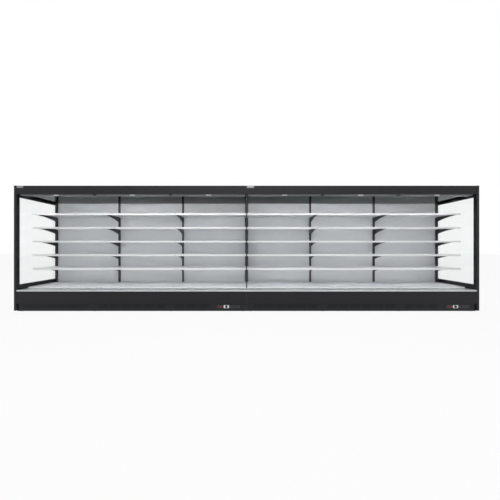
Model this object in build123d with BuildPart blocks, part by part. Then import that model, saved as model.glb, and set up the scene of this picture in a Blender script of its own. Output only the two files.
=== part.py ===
from build123d import *
import os
from math import cos, pi, radians, sin, sqrt

# Open multideck display fridge: a line-up of equal open-fronted cases between two glazed
# end walls. X runs along the line-up, the open front faces -Y and +Z is up. The origin is
# on the floor, at the middle of the overall length and depth. All sizes are millimetres.

# ---- Driving dimensions: the line-up ----
case_count = 2
case_length = 3750
bays_per_case = 3
depth = 1000
end_gap = 0.5  # between a case and its neighbour or end wall, each side
seat = 0.2  # between separate solids that sit against each other inside one piece
sheet = 2  # folded sheet metal

# ---- End walls ----
end_thickness = 40
end_height = 2055
end_lift = 15  # clear of the floor, the feet carry the line-up
end_post = 58  # front post, front to back
end_sill = 424  # height of the solid lower panel
end_top_rail = 170
end_rear_panel = 130
end_corner = 4
glass_thickness = 24

# ---- Base ----
rail_bottom = 40
rail_size = 50
rail_wall = 3
rail_setback = 30  # front rail and tub behind the front plane
rear_rail_inset = 10
foot_inset = 60  # first foot from the end of a case
foot_pad_radius = 24
foot_pad_height = 8
stud_radius = 8
stud_clearance = 0.3
locknut_flats = 24
locknut_height = 13

# ---- Insulated body ----
tub_floor = 40
tub_wall = 50
tub_wall_top = 326
back_wall = 60
roof_drop = 65  # roof's top below the end walls' top
roof_thickness = 40
roof_setback = 95  # roof edge behind the front plane, room for the night blinds
duct = 68  # air duct in front of the back wall

# ---- Front of the base ----
skin_setback = 2  # riser and fascia faces behind the end walls' front edges
bumper_height = 25
bumper_depth = 60
bumper_wall = 3
bumper_side = 6  # front and back walls of the hollow profile
bumper_nose = 9
riser_bottom = 128
kick_bottom = 6
kick_setback = 22
kick_slot_height = 13
kick_slot_pitch = 32
kick_slot_length = 160
kick_slot_web = 14
kick_slot_rows = 2
kick_slot_middle = 83  # height halfway between the rows
kick_margins = ((112, 79), (60, 57), (50, 601))  # each bay's slots, from the bay's two ends

# ---- Deck, fans and coil ----
deck_top = 370
deck_setback = 220
tray_lip = 21
grille_slot = 12
grille_slot_pitch = 20
grille_slot_length = 110
deck_beam = 20
deck_leg = 25
rear_leg_gap = 5  # between a rear leg and an upright
panel_drop = 9  # lower edge of the back panels under the deck's front rail
fan_plate_gap = 80  # in front of the coil
fan_radius = 98
fan_tip_gap = 6
fan_height = 240  # axis above the floor
fan_blades = 5
fan_hub_radius = 30
fan_hub_depth = 36
fan_blade_chord = 42
fan_blade_thickness = 2.5
fan_blade_pitch = 35
fan_shaft_radius = 4
fan_shaft_length = 38
shaft_end_gap = 1
fan_hub_corner = 6
fan_blade_bury = 4  # how far a blade's root lies inside the hub
bearing_clearance = 0.05
motor_radius = 43
motor_depth = 70
motor_gap = 10  # between the motor and the fan's hub
motor_ring = 7
motor_ring_inset = 10
motor_corner = 4
motor_arm_thickness = 3
motor_arm_width = 12
motor_arm_reach = 118
motor_arms = 4
coil_depth = 280
coil_leg_gap = 10  # between the coil and the deck's rear legs
coil_top = 320
coil_underside = 150
coil_inset = 150  # from each end of the case
coil_end_plate = 3
coil_plate_rim = 5  # end plate beyond the fins
fin_thickness = 1.5
fin_pitch = 75
bend_tube_radius = 5
bend_radius = 15
bend_rows = 2
bend_row_pitch = 75
bend_lowest = 40  # middle of the lowest bend above the coil's underside
bend_columns = 3
bend_column_pitch = 45
bend_first = 115  # first column behind the coil's front
suction_radius = 14
suction_bend = 30
suction_drop = 40  # coil outlet below the coil's top
suction_offset = 20  # coil outlet behind the coil's front
suction_reach = 47  # sideways, from the coil's end plate to the riser
liquid_radius = 6
liquid_bend = 18
liquid_rise = 50  # coil inlet above the coil's underside
liquid_offset = 60
liquid_reach = 22
pipe_wall = 1
pipe_stub = 45  # above the roof
socket_length = 40  # widened pipe end that takes a pipe of the same size
socket_clearance = 0.1
drain_radius = 20
drain_wall = 3
drain_length = 45  # below the tub
drain_collar = 3  # how much wider the outlet is inside the tub's floor
drain_flange_radius = 35
drain_setback = 80  # behind the deck's front edge

# ---- Back panels, uprights and shelves ----
upright_width = 30
upright_depth = 30
upright_wall = 2.5
slot_pitch = 40
slots_per_shelf = 6
slot_height = 16
slot_width = 4.4
slot_columns = 9  # slot column from the upright's centre
panel_gap = 1
standoff_height = 60
standoff_margin = 50  # lowest stand-off above the deck
standoff_drop = 90  # highest stand-off below the ceiling
shelf_levels = 5
lowest_shelf = 682
shelf_setback = 305
shelf_gap = 5  # shelf end to the bay's boundary
shelf_lip = 28
shelf_back_lip = 12
shelf_back_gap = 3
bracket_thickness = 3
bracket_front = 45  # bracket tip behind the shelf's front edge
bracket_tip = 16
bracket_root = 100
bracket_sag = 18  # how far the lower edge bows up
hook_drop = 36  # first hook's slot below the shelf top
hook_height = 11
hook_depth = 6
hook_leg = 7
hook_bury = 1  # how far a hook's root lies inside the bracket
rail_height = 30
rail_depth = 5
rail_skin = 1.5
led_width = 14
led_height = 10
led_end_gap = 30
led_slope = 75
canopy_led_gap = 4  # behind the canopy's lower lip
shelf_led_setback = 24

# ---- Canopy and night blinds ----
canopy_drop = 2  # below the end walls' top
fascia_drop = 138
fascia_return = 30
ceiling_drop = 145
honeycomb_width = 50
honeycomb_height = 25
honeycomb_slots = 4
honeycomb_slot = 7
honeycomb_pitch = 11.5
honeycomb_inset = 22  # behind the roof's front edge
nose_front = 60  # housing's lower lip behind the front plane
blind_setback = 45
spare_cloth = 2  # left on the roller when a blind is drawn
cloth_thickness = 0.4
cloth_inset = 28  # cloth edge from the bay's boundary
roller_tube_radius = 15
roller_tube_wall = 2
roller_plug = 20
roller_drop = 80  # roller's axis below the end walls' top
roller_pin_radius = 5
roller_pin_length = 14
roller_bracket_inset = 12
roller_bracket_width = 3
roller_bracket_half_height = 24
roller_end_gap = 2
bar_inset = 20
bar_depth = 16
bar_height = 12
bar_wall = 1.5
bar_corner = 2
handle_length = 84
handle_height = 18
handle_depth = 8
blind_rest_gap = 6  # between a drawn blind's handle and the bumper

# ---- Centre divider ----
divider_thickness = 8
divider_trim_width = 20
divider_trim_depth = 14
divider_trim_corner = 4

# ---- Controls in the kick ----
control_inset = 110  # from the case's right end
control_length = 376
control_plate = 4
control_height = 56
control_corner = 5
control_rise = 11  # middle of the controls above the middle of the kick plate
switch_offset = 54  # from the control plate's left end
switch_length = 56
switch_height = 23
switch_margin = 1.7
switch_pin_radius = 1.2
switch_pin_length = 2
switch_tilt = 8
rocker_back = 4  # rocker's section, about its pivot
rocker_rim = 5
rocker_waist = 3.2
rocker_taper = 2.5
knob_offset = 154
knob_radius = 15
knob_depth = 13
knob_shaft_radius = 3
knob_flutes = 12
knob_flute_radius = 1.6
knob_edge = 1.5
knob_hole_gap = 1  # round the shaft, in the kick plate
pointer_width = 2
pointer_depth = 1
pointer_margin = 2
dial_radius = 23
dial_step = 0.8
display_offset = 299
display_length = 138
display_height = 34
display_depth = 3
display_corner = 4

# ---- Terminal box on the roof ----
box_length = 260
box_depth = 180
box_height = 44
box_wall = 2
box_corner = 6
box_inset = 250  # middle of the box in front of the back
gland_bore = 6.5
gland_outer = 10
gland_flange = 14
gland_length = 25

# ---- Places that follow from the driving dimensions ----
bay = case_length / bays_per_case
line_length = case_count * case_length
front = -depth / 2
back = depth / 2
case_starts = [i * case_length - line_length / 2 for i in range(case_count)]
case_centres = [start + case_length / 2 for start in case_starts]
joints_between_cases = case_starts[1:]
bay_centres = [start + bay * (k + 0.5) for start in case_starts for k in range(bays_per_case)]
run = case_length - 2 * end_gap  # length of a piece that is as long as its case

rail_top = rail_bottom + rail_size
tub_bottom = rail_top
tub_inside = tub_bottom + tub_floor
tub_front = front + rail_setback
tub_wall_back = tub_front + tub_wall
wall_front = back - back_wall
roof_top = end_height - roof_drop
roof_underside = roof_top - roof_thickness
roof_front = front + roof_setback
panel_back = wall_front - duct
panel_front = panel_back - sheet
upright_front = panel_front - upright_depth
skin = front + skin_setback
bumper_top = tub_wall_top + bumper_height
kick_face = front + kick_setback
deck_front = front + deck_setback
deck_underside = deck_top - sheet
rear_leg_back = upright_front - rear_leg_gap
coil_back = rear_leg_back - deck_leg - coil_leg_gap
coil_front = coil_back - coil_depth
fan_plate_y = coil_front - fan_plate_gap
drain_y = deck_front + drain_setback
box_y = back - box_inset
shelf_front = front + shelf_setback
shelf_back = upright_front - shelf_back_gap
shelf_pitch = slots_per_shelf * slot_pitch
shelf_tops = [lowest_shelf + k * shelf_pitch for k in range(shelf_levels)]
shelf_length = bay - 2 * shelf_gap
canopy_top = end_height - canopy_drop
fascia_bottom = end_height - fascia_drop
ceiling_underside = end_height - ceiling_drop
ceiling_top = ceiling_underside + sheet
lowest_standoff = deck_top + standoff_margin
highest_standoff = ceiling_underside - standoff_drop
standoff_levels = (lowest_standoff, (lowest_standoff + highest_standoff) / 2, highest_standoff)
roller_height = end_height - roller_drop
bar_top = fascia_bottom
bar_bottom = bar_top - bar_height
handle_top = bar_top - sheet
blind_travel = handle_top - handle_height - blind_rest_gap - bumper_top
cloth_length = blind_travel + roller_height - bar_top + spare_cloth
blind_y = front + blind_setback
roll_radius = sqrt(roller_tube_radius**2 + cloth_length * cloth_thickness / pi)
roller_y = blind_y + cloth_thickness / 2 + roll_radius
housing_back = roof_front
housing_front = housing_back - sheet
nose = front + nose_front
honeycomb_back = housing_back + honeycomb_inset + honeycomb_width
honeycomb_front = honeycomb_back - honeycomb_width

control_end = case_length - control_inset
control_start = control_end - control_length
switch_x = control_start + switch_offset
knob_x = control_start + knob_offset
display_x = control_start + display_offset
kick_groups = [(bay * k + left, bay * (k + 1) - right) for k, (left, right) in enumerate(kick_margins)]


def upright_centres(start):
    """Centres of the uprights of the case that begins at start."""
    first = start + end_gap + upright_width / 2
    last = start + case_length - end_gap - upright_width / 2
    inner = [start + bay * k for k in range(1, bays_per_case)]
    return [first, *inner, last]


def support_stations(start):
    """Places along a case where feet, cross members and deck supports stand."""
    inner = [start + bay * k for k in range(1, bays_per_case)]
    return [start + foot_inset, *inner, start + case_length - foot_inset]


def across(length, centres):
    """Planes across X, where solids of this length start so that they lie about the centres."""
    return [Plane.YZ.offset(centre - length / 2) for centre in centres]


def facing(y):
    """The upright plane at this Y that looks towards the front, with X to the right and Z up."""
    return Plane.XZ.offset(-y)


all_uprights = [x for start in case_starts for x in upright_centres(start)]
all_stations = [x for start in case_starts for x in support_stations(start)]

os.makedirs("parts", exist_ok=True)

# ---- End walls: foamed lower panel, front post, rear panel and top rail round the glass ----
end_centres = [-(line_length + end_thickness) / 2, (line_length + end_thickness) / 2]
glass_front = front + end_post
glass_back = back - end_rear_panel
glass_top = end_height - end_top_rail

with BuildPart() as end_frames:
    with BuildSketch(*across(end_thickness, end_centres)):
        with Locations((0, (end_lift + end_sill) / 2)):
            Rectangle(depth, end_sill - end_lift)
    extrude(amount=end_thickness)
    fillet(end_frames.edges().filter_by(Axis.X).group_by(Axis.Z)[0], radius=end_corner)
    with BuildSketch(*across(end_thickness, end_centres)):
        with Locations((0, (glass_top + end_height) / 2)):
            Rectangle(depth, end_height - glass_top)
    extrude(amount=end_thickness)
    with BuildSketch(*across(end_thickness, end_centres)):
        post_height = glass_top - end_sill - 2 * seat
        with Locations((front + end_post / 2, (glass_top + end_sill) / 2)):
            Rectangle(end_post, post_height)
        with Locations((back - end_rear_panel / 2, (glass_top + end_sill) / 2)):
            Rectangle(end_rear_panel, post_height)
    extrude(amount=end_thickness)
end_frames.part.label = "end_frames"
export_step(end_frames.part, "parts/end_frames.step")

with BuildPart() as end_glass:
    with BuildSketch(*across(glass_thickness, end_centres)):
        with Locations(((glass_front + glass_back) / 2, (glass_top + end_sill) / 2)):
            Rectangle(glass_back - glass_front, glass_top - end_sill)
    extrude(amount=glass_thickness)
end_glass.part.label = "end_glass"
export_step(end_glass.part, "parts/end_glass.step")

# ---- Base frame: hollow long rails on the feet, with cross members between them ----
front_rail_y = tub_front + rail_size / 2
rear_rail_y = back - rear_rail_inset - rail_size / 2
rail_middle = rail_bottom + rail_size / 2
stud_hole = stud_radius + stud_clearance
foot_spots = [(x, y) for x in all_stations for y in (front_rail_y, rear_rail_y)]

with BuildPart() as base_frame:
    with BuildSketch(*across(run, case_centres)):
        with Locations((front_rail_y, rail_middle), (rear_rail_y, rail_middle)):
            Rectangle(rail_size, rail_size)
            Rectangle(rail_size - 2 * rail_wall, rail_size - 2 * rail_wall, mode=Mode.SUBTRACT)
    extrude(amount=run)
    with BuildSketch(Plane.XY.offset(rail_bottom)):
        with Locations(*foot_spots):
            Circle(stud_hole)
    extrude(amount=rail_wall, mode=Mode.SUBTRACT)
    cross_start = front_rail_y + rail_size / 2 + seat
    cross_length = rear_rail_y - front_rail_y - rail_size - 2 * seat
    with BuildSketch(facing(cross_start)):
        with Locations(*[(x, rail_middle) for x in all_stations]):
            Rectangle(rail_size, rail_size)
            Rectangle(rail_size - 2 * rail_wall, rail_size - 2 * rail_wall, mode=Mode.SUBTRACT)
    extrude(amount=-cross_length)
base_frame.part.label = "base_frame"
export_step(base_frame.part, "parts/base_frame.step")

# ---- Levelling feet: pad and stud, with a lock nut under the rail ----
stud_top = rail_middle
with BuildPart() as levelling_feet:
    with BuildSketch():
        with Locations(*foot_spots):
            Circle(foot_pad_radius)
    extrude(amount=foot_pad_height)
    chamfer(levelling_feet.edges().group_by(Axis.Z)[-1], length=foot_pad_height / 2)
    with BuildSketch(Plane.XY.offset(foot_pad_height)):
        with Locations(*foot_spots):
            Circle(stud_radius)
    extrude(amount=stud_top - foot_pad_height)
    with BuildSketch(Plane.XY.offset(rail_bottom - locknut_height)):
        with Locations(*foot_spots):
            RegularPolygon(locknut_flats / 2, 6, major_radius=False)
            Circle(stud_hole, mode=Mode.SUBTRACT)
    extrude(amount=locknut_height)
levelling_feet.part.label = "levelling_feet"
export_step(levelling_feet.part, "parts/levelling_feet.step")

# ---- Foamed tub: floor and front wall, with a drain hole ----
with BuildPart() as tubs:
    with BuildSketch(*across(run, case_centres)):
        with BuildLine():
            Polyline(
                (tub_front, tub_bottom),
                (wall_front, tub_bottom),
                (wall_front, tub_inside),
                (tub_wall_back, tub_inside),
                (tub_wall_back, tub_wall_top),
                (tub_front, tub_wall_top),
                close=True,
            )
        make_face()
    extrude(amount=run)
    with BuildSketch(Plane.XY.offset(tub_bottom)):
        with Locations(*[(x, drain_y) for x in case_centres]):
            Circle(drain_radius + drain_collar + seat)
    extrude(amount=tub_floor, mode=Mode.SUBTRACT)
tubs.part.label = "tubs"
export_step(tubs.part, "parts/tubs.step")

with BuildPart() as drain_outlets:
    with BuildSketch(Plane.XY.offset(tub_inside)):
        with Locations(*[(x, drain_y) for x in case_centres]):
            Circle(drain_flange_radius)
    extrude(amount=drain_wall)
    with BuildSketch(Plane.XY.offset(tub_bottom - drain_length)):
        with Locations(*[(x, drain_y) for x in case_centres]):
            Circle(drain_radius)
    extrude(amount=drain_length)
    with BuildSketch(Plane.XY.offset(tub_bottom)):
        with Locations(*[(x, drain_y) for x in case_centres]):
            Circle(drain_radius + drain_collar)
    extrude(amount=tub_floor)
    with BuildSketch(Plane.XY.offset(tub_bottom - drain_length)):
        with Locations(*[(x, drain_y) for x in case_centres]):
            Circle(drain_radius - drain_wall)
    extrude(amount=drain_length + tub_floor + drain_wall, mode=Mode.SUBTRACT)
drain_outlets.part.label = "drain_outlets"
export_step(drain_outlets.part, "parts/drain_outlets.step")

# ---- Foamed back wall and roof ----
with BuildPart() as back_walls:
    with BuildSketch(*across(run, case_centres)):
        with Locations(((wall_front + back) / 2, (tub_bottom + roof_underside) / 2)):
            Rectangle(back_wall, roof_underside - tub_bottom)
    extrude(amount=run)
back_walls.part.label = "back_walls"
export_step(back_walls.part, "parts/back_walls.step")

# Pipe routes: out of the coil's right end, back under the panels and up the rear duct.
coil_ends = [x + case_length / 2 - coil_inset + coil_end_plate for x in case_centres]
pipe_y = (panel_back + wall_front) / 2
pipe_tops = roof_top + pipe_stub
suction_spots = [(x + suction_reach, pipe_y) for x in coil_ends]
liquid_spots = [(x + liquid_reach, pipe_y) for x in coil_ends]

with BuildPart() as roofs:
    with BuildSketch(*across(run, case_centres)):
        with Locations(((roof_front + back) / 2, roof_underside + roof_thickness / 2)):
            Rectangle(back - roof_front, roof_thickness)
    extrude(amount=run)
    with BuildSketch(Plane.XY.offset(roof_underside)):
        with Locations(*suction_spots):
            Circle(suction_radius + seat)
        with Locations(*liquid_spots):
            Circle(liquid_radius + seat)
    extrude(amount=roof_thickness, mode=Mode.SUBTRACT)
roofs.part.label = "roofs"
export_step(roofs.part, "parts/roofs.step")

# ---- Front riser: folded sheet hung in front of the tub ----
riser_top = tub_wall_top - sheet
with BuildPart() as front_risers:
    with BuildSketch(*across(run, case_centres)):
        with BuildLine():
            Polyline(
                (skin, riser_bottom),
                (tub_front, riser_bottom),
                (tub_front, riser_bottom + sheet),
                (skin + sheet, riser_bottom + sheet),
                (skin + sheet, riser_top - sheet),
                (tub_front, riser_top - sheet),
                (tub_front, riser_top),
                (skin, riser_top),
                close=True,
            )
        make_face()
    extrude(amount=run)
front_risers.part.label = "front_risers"
export_step(front_risers.part, "parts/front_risers.step")

# ---- Bumper: hollow profile with a rounded nose, on top of the tub's front wall ----
with BuildPart() as bumpers:
    with BuildSketch(*across(run, case_centres)):
        with Locations((front + bumper_depth / 2, tub_wall_top + bumper_height / 2)):
            outline = Rectangle(bumper_depth, bumper_height)
        fillet(outline.vertices().group_by(Axis.Y)[0], radius=bumper_nose)
        with Locations((front + bumper_depth / 2, tub_wall_top + bumper_height / 2)):
            Rectangle(bumper_depth - 2 * bumper_side, bumper_height - 2 * bumper_wall, mode=Mode.SUBTRACT)
    extrude(amount=run)
bumpers.part.label = "bumpers"
export_step(bumpers.part, "parts/bumpers.step")

# ---- Kick plates: folded sheet with three groups of slots, cut out for the controls ----
control_z = (kick_bottom + riser_bottom) / 2 + control_rise
control_face = kick_face - control_plate


def kick_slot_spots(start):
    """Centres of the kick plate's slots, in as many columns as each group has room for."""
    spots = []
    for group_start, group_end in kick_groups:
        columns = int((group_end - group_start) // (kick_slot_length + kick_slot_web))
        pitch = (group_end - group_start) / columns
        for column in range(columns):
            x = start + group_start + pitch * (column + 0.5)
            for row in range(kick_slot_rows):
                middle = (kick_slot_rows - 1) / 2
                spots.append((x, kick_slot_middle + kick_slot_pitch * (row - middle)))
    return spots


with BuildPart() as kick_plates:
    with BuildSketch(*across(run, case_centres)):
        with BuildLine():
            Polyline(
                (kick_face, kick_bottom),
                (tub_front, kick_bottom),
                (tub_front, kick_bottom + sheet),
                (kick_face + sheet, kick_bottom + sheet),
                (kick_face + sheet, riser_bottom - sheet),
                (tub_front, riser_bottom - sheet),
                (tub_front, riser_bottom),
                (kick_face, riser_bottom),
                close=True,
            )
        make_face()
    extrude(amount=run)
    with BuildSketch(facing(kick_face)):
        with Locations(*[spot for start in case_starts for spot in kick_slot_spots(start)]):
            SlotOverall(kick_slot_length, kick_slot_height)
        with Locations(*[(start + switch_x, control_z) for start in case_starts]):
            Rectangle(switch_length + 2 * switch_margin, switch_height + 2 * switch_margin)
        with Locations(*[(start + knob_x, control_z) for start in case_starts]):
            Circle(knob_shaft_radius + knob_hole_gap)
    extrude(amount=-sheet, mode=Mode.SUBTRACT)
kick_plates.part.label = "kick_plates"
export_step(kick_plates.part, "parts/kick_plates.step")

# ---- Control panels on the kick plates: plate with a dial ring, and a display ----
switch_pivot_y = control_face + control_plate / 2
pin_hole = switch_pin_radius + bearing_clearance
dial_face = control_face - dial_step

with BuildPart() as control_panels:
    with BuildSketch(facing(control_face)):
        with Locations(*[(start + (control_start + control_end) / 2, control_z) for start in case_starts]):
            RectangleRounded(control_end - control_start, control_height, control_corner)
    extrude(amount=-control_plate)
    with BuildSketch(facing(dial_face)):
        with Locations(*[(start + knob_x, control_z) for start in case_starts]):
            Circle(dial_radius)
    extrude(amount=-dial_step)
    with BuildSketch(facing(dial_face)):
        with Locations(*[(start + switch_x, control_z) for start in case_starts]):
            Rectangle(switch_length + 2 * seat, switch_height + 2 * switch_margin)
        with Locations(*[(start + knob_x, control_z) for start in case_starts]):
            Circle(knob_shaft_radius + bearing_clearance)
    extrude(amount=-control_plate - dial_step, mode=Mode.SUBTRACT)
    pin_span = switch_length + 2 * seat + 2 * switch_pin_length
    with BuildSketch(*across(pin_span, [start + switch_x for start in case_starts])):
        with Locations((switch_pivot_y, control_z)):
            Circle(pin_hole)
    extrude(amount=pin_span, mode=Mode.SUBTRACT)
    with BuildSketch(facing(control_face - seat)):
        with Locations(*[(start + display_x, control_z) for start in case_starts]):
            RectangleRounded(display_length, display_height, display_corner)
    extrude(amount=display_depth)
control_panels.part.label = "control_panels"
export_step(control_panels.part, "parts/control_panels.step")

# ---- Rocker switches: one per case, turning on two stub pins ----


def rocker_point(out, up):
    """A point of the rocker's section, turned to its resting tilt about the pivot."""
    turn = radians(-switch_tilt)
    return (
        switch_pivot_y + out * cos(turn) - up * sin(turn),
        control_z + out * sin(turn) + up * cos(turn),
    )


for number, start in enumerate(case_starts, 1):
    with BuildPart() as rocker:
        with BuildSketch(*across(switch_length, [start + switch_x])):
            with BuildLine():
                Polyline(
                    rocker_point(rocker_back, -switch_height / 2 + rocker_taper),
                    rocker_point(-rocker_waist / 2, -switch_height / 2),
                    rocker_point(-rocker_rim, -switch_height / 2),
                    rocker_point(-rocker_waist, 0),
                    rocker_point(-rocker_rim, switch_height / 2),
                    rocker_point(-rocker_waist / 2, switch_height / 2),
                    rocker_point(rocker_back, switch_height / 2 - rocker_taper),
                    close=True,
                )
            make_face()
        extrude(amount=switch_length)
        rocker_pins = switch_length + 2 * switch_pin_length - 2 * seat
        with BuildSketch(*across(rocker_pins, [start + switch_x])):
            with Locations((switch_pivot_y, control_z)):
                Circle(switch_pin_radius)
        extrude(amount=rocker_pins)
    rocker.part.label = f"rocker_switch_{number}"
    export_step(rocker.part, f"parts/rocker_switch_{number}.step")

# ---- Dial knobs: one per case, fluted, with a pointer rib, on a shaft through the plate ----
knob_back = dial_face - seat
knob_face = knob_back - knob_depth
shaft_end = kick_face + sheet

for number, start in enumerate(case_starts, 1):
    with BuildPart() as knob:
        with BuildSketch(facing(knob_back)):
            with Locations((start + knob_x, control_z)):
                Circle(knob_radius)
        extrude(amount=knob_depth)
        chamfer(knob.edges().group_by(Axis.Y)[0], length=knob_edge)
        with BuildSketch(facing(knob_back)):
            with Locations((start + knob_x, control_z)):
                with PolarLocations(knob_radius, knob_flutes, start_angle=180 / knob_flutes):
                    Circle(knob_flute_radius)
        extrude(amount=knob_depth, mode=Mode.SUBTRACT)
        with BuildSketch(facing(knob_face)):
            with Locations((start + knob_x, control_z + knob_radius / 2)):
                Rectangle(pointer_width, knob_radius - 2 * pointer_margin)
        extrude(amount=-pointer_depth, mode=Mode.SUBTRACT)
        with BuildSketch(facing(knob_back)):
            with Locations((start + knob_x, control_z)):
                Circle(knob_shaft_radius)
        extrude(amount=-(shaft_end - knob_back))
    knob.part.label = f"dial_knob_{number}"
    export_step(knob.part, f"parts/dial_knob_{number}.step")

# ---- Deck supports: front rail on legs, and beams back over the fan plate and the coil ----
support_rail_top = deck_top - tray_lip
support_rail_bottom = support_rail_top - deck_beam
leg_front = deck_front - deck_beam
leg_back = leg_front + deck_leg
beam_bottom = deck_underside - deck_beam

with BuildPart() as deck_supports:
    with BuildSketch(*across(run, case_centres)):
        with Locations(((leg_front + leg_back) / 2, (support_rail_top + support_rail_bottom) / 2)):
            Rectangle(deck_leg, deck_beam)
    extrude(amount=run)
    with BuildSketch(Plane.XY.offset(tub_inside)):
        with Locations(*[(x, (leg_front + leg_back) / 2) for x in all_stations]):
            Rectangle(deck_leg, deck_leg)
    extrude(amount=support_rail_bottom - seat - tub_inside)
    with BuildSketch(Plane.XY.offset(tub_inside)):
        with Locations(*[(x, rear_leg_back - deck_leg / 2) for x in all_stations]):
            Rectangle(deck_leg, deck_leg)
    extrude(amount=beam_bottom - seat - tub_inside)
    with BuildSketch(facing(leg_back + seat)):
        with Locations(*[(x, (beam_bottom + deck_underside) / 2) for x in all_stations]):
            Rectangle(deck_leg, deck_beam)
    extrude(amount=-(rear_leg_back - leg_back - seat))
deck_supports.part.label = "deck_supports"
export_step(deck_supports.part, "parts/deck_supports.step")

# ---- Deck trays: flat, with a front lip on the support rail and a back lip ----
tray_length = bay - 2 * shelf_gap
with BuildPart() as deck_trays:
    with BuildSketch(*across(tray_length, bay_centres)):
        with BuildLine():
            Polyline(
                (deck_front, deck_top - tray_lip),
                (deck_front + sheet, deck_top - tray_lip),
                (deck_front + sheet, deck_underside),
                (shelf_back - sheet, deck_underside),
                (shelf_back - sheet, deck_top - tray_lip),
                (shelf_back, deck_top - tray_lip),
                (shelf_back, deck_top),
                (deck_front, deck_top),
                close=True,
            )
        make_face()
    extrude(amount=tray_length)
deck_trays.part.label = "deck_trays"
export_step(deck_trays.part, "parts/deck_trays.step")

# ---- Return-air grilles: slotted strips between the bumper and the deck ----
grille_front = front + bumper_depth
grille_back = deck_front - seat
grille_slots = int((tray_length - 2 * grille_slot) // grille_slot_pitch)
grille_top = support_rail_top + sheet
with BuildPart() as one_grille:
    with BuildSketch(Plane.XY.offset(support_rail_top)):
        with Locations((0, (grille_front + grille_back) / 2)):
            Rectangle(tray_length, grille_back - grille_front)
        with Locations((0, (grille_front + leg_front) / 2)):
            with GridLocations(grille_slot_pitch, 1, grille_slots, 1):
                Rectangle(grille_slot, grille_slot_length, mode=Mode.SUBTRACT)
    extrude(amount=sheet)
    with BuildSketch(*across(tray_length, [0])):
        with Locations((grille_front + sheet / 2, (tub_wall_top + grille_top) / 2)):
            Rectangle(sheet, grille_top - tub_wall_top)
    extrude(amount=tray_length, clean=False)

with BuildPart() as return_grilles:
    with Locations(*[(x, 0, 0) for x in bay_centres]):
        add(one_grille.part, clean=False)
return_grilles.part.label = "return_grilles"
export_step(return_grilles.part, "parts/return_grilles.step")

# ---- Fan plates: upright sheet across the tub with one round hole per bay ----
fan_hole = fan_radius + fan_tip_gap
with BuildPart() as fan_plates:
    with BuildSketch(*across(run, case_centres)):
        with Locations((fan_plate_y - sheet / 2, (tub_inside + beam_bottom) / 2)):
            Rectangle(sheet, beam_bottom - tub_inside)
        with Locations((fan_plate_y + deck_leg / 2, tub_inside + sheet / 2)):
            Rectangle(deck_leg, sheet)
    extrude(amount=run)
    with BuildSketch(facing(fan_plate_y)):
        with Locations(*[(x, fan_height) for x in bay_centres]):
            Circle(fan_hole)
    extrude(amount=sheet, mode=Mode.SUBTRACT)
fan_plates.part.label = "fan_plates"
export_step(fan_plates.part, "parts/fan_plates.step")

# ---- Fan motors: a motor in a ring with four arms, footed on the fan plate ----
hub_front = fan_plate_y - sheet / 2 - fan_hub_depth / 2
motor_back = hub_front - motor_gap
motor_front = motor_back - motor_depth
ring_back = motor_back - motor_ring_inset
leg_length = fan_plate_y - sheet - ring_back

with BuildPart() as fan_motors:
    with BuildSketch(facing(motor_back)):
        with Locations(*[(x, fan_height) for x in bay_centres]):
            Circle(motor_radius)
    extrude(amount=motor_depth)
    chamfer(fan_motors.edges().group_by(Axis.Y)[0], length=motor_corner)
    with BuildSketch(facing(motor_back)):
        with Locations(*[(x, fan_height) for x in bay_centres]):
            Circle(fan_shaft_radius + bearing_clearance)
    extrude(amount=fan_shaft_length - motor_gap + shaft_end_gap, mode=Mode.SUBTRACT)
    ring_inner = motor_radius + seat
    arm_length = motor_arm_reach - ring_inner - motor_ring / 2
    with BuildSketch(facing(ring_back)):
        with Locations(*[(x, fan_height) for x in bay_centres]):
            with PolarLocations(motor_arm_reach - arm_length / 2, motor_arms, start_angle=180 / motor_arms):
                Rectangle(arm_length, motor_arm_width)
            Circle(ring_inner + motor_ring)
            Circle(ring_inner, mode=Mode.SUBTRACT)
    extrude(amount=motor_arm_thickness)
    with BuildSketch(facing(ring_back)):
        with Locations(*[(x, fan_height) for x in bay_centres]):
            arm_end = motor_arm_reach - motor_arm_thickness / 2
            with PolarLocations(arm_end, motor_arms, start_angle=180 / motor_arms):
                Rectangle(motor_arm_thickness, motor_arm_width)
    extrude(amount=-leg_length)
fan_motors.part.label = "fan_motors"
export_step(fan_motors.part, "parts/fan_motors.step")

# ---- Fans: hub, shaft and pitched blades, one per bay ----
blade_root = fan_hub_radius - fan_blade_bury
blade_length = fan_radius - blade_root
for number, x in enumerate(bay_centres, 1):
    with BuildPart() as fan:
        with BuildSketch(facing(hub_front + fan_hub_depth)):
            with Locations((x, fan_height)):
                Circle(fan_hub_radius)
        extrude(amount=fan_hub_depth)
        fillet(fan.edges().group_by(Axis.Y)[-1], radius=fan_hub_corner)
        with BuildSketch(facing(hub_front)):
            with Locations((x, fan_height)):
                Circle(fan_shaft_radius)
        extrude(amount=fan_shaft_length)
        for blade in range(fan_blades):
            angle = radians(90 + 360 * blade / fan_blades)
            outward = Vector(cos(angle), 0, sin(angle))
            around = Vector(-sin(angle), 0, cos(angle))
            tilt = radians(fan_blade_pitch)
            blade_normal = around * -sin(tilt) + Vector(0, 1, 0) * cos(tilt)
            centre = Vector(x, hub_front + fan_hub_depth / 2, fan_height)
            middle = centre + outward * ((fan_radius + blade_root) / 2)
            with BuildSketch(Plane(middle, x_dir=outward, z_dir=blade_normal)):
                blade_outline = Rectangle(blade_length, fan_blade_chord)
                fillet(blade_outline.vertices().group_by(Axis.X)[-1], radius=fan_blade_chord / 4)
            extrude(amount=fan_blade_thickness / 2, both=True)
    fan.part.label = f"fan_{number}"
    export_step(fan.part, f"parts/fan_{number}.step")

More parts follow.
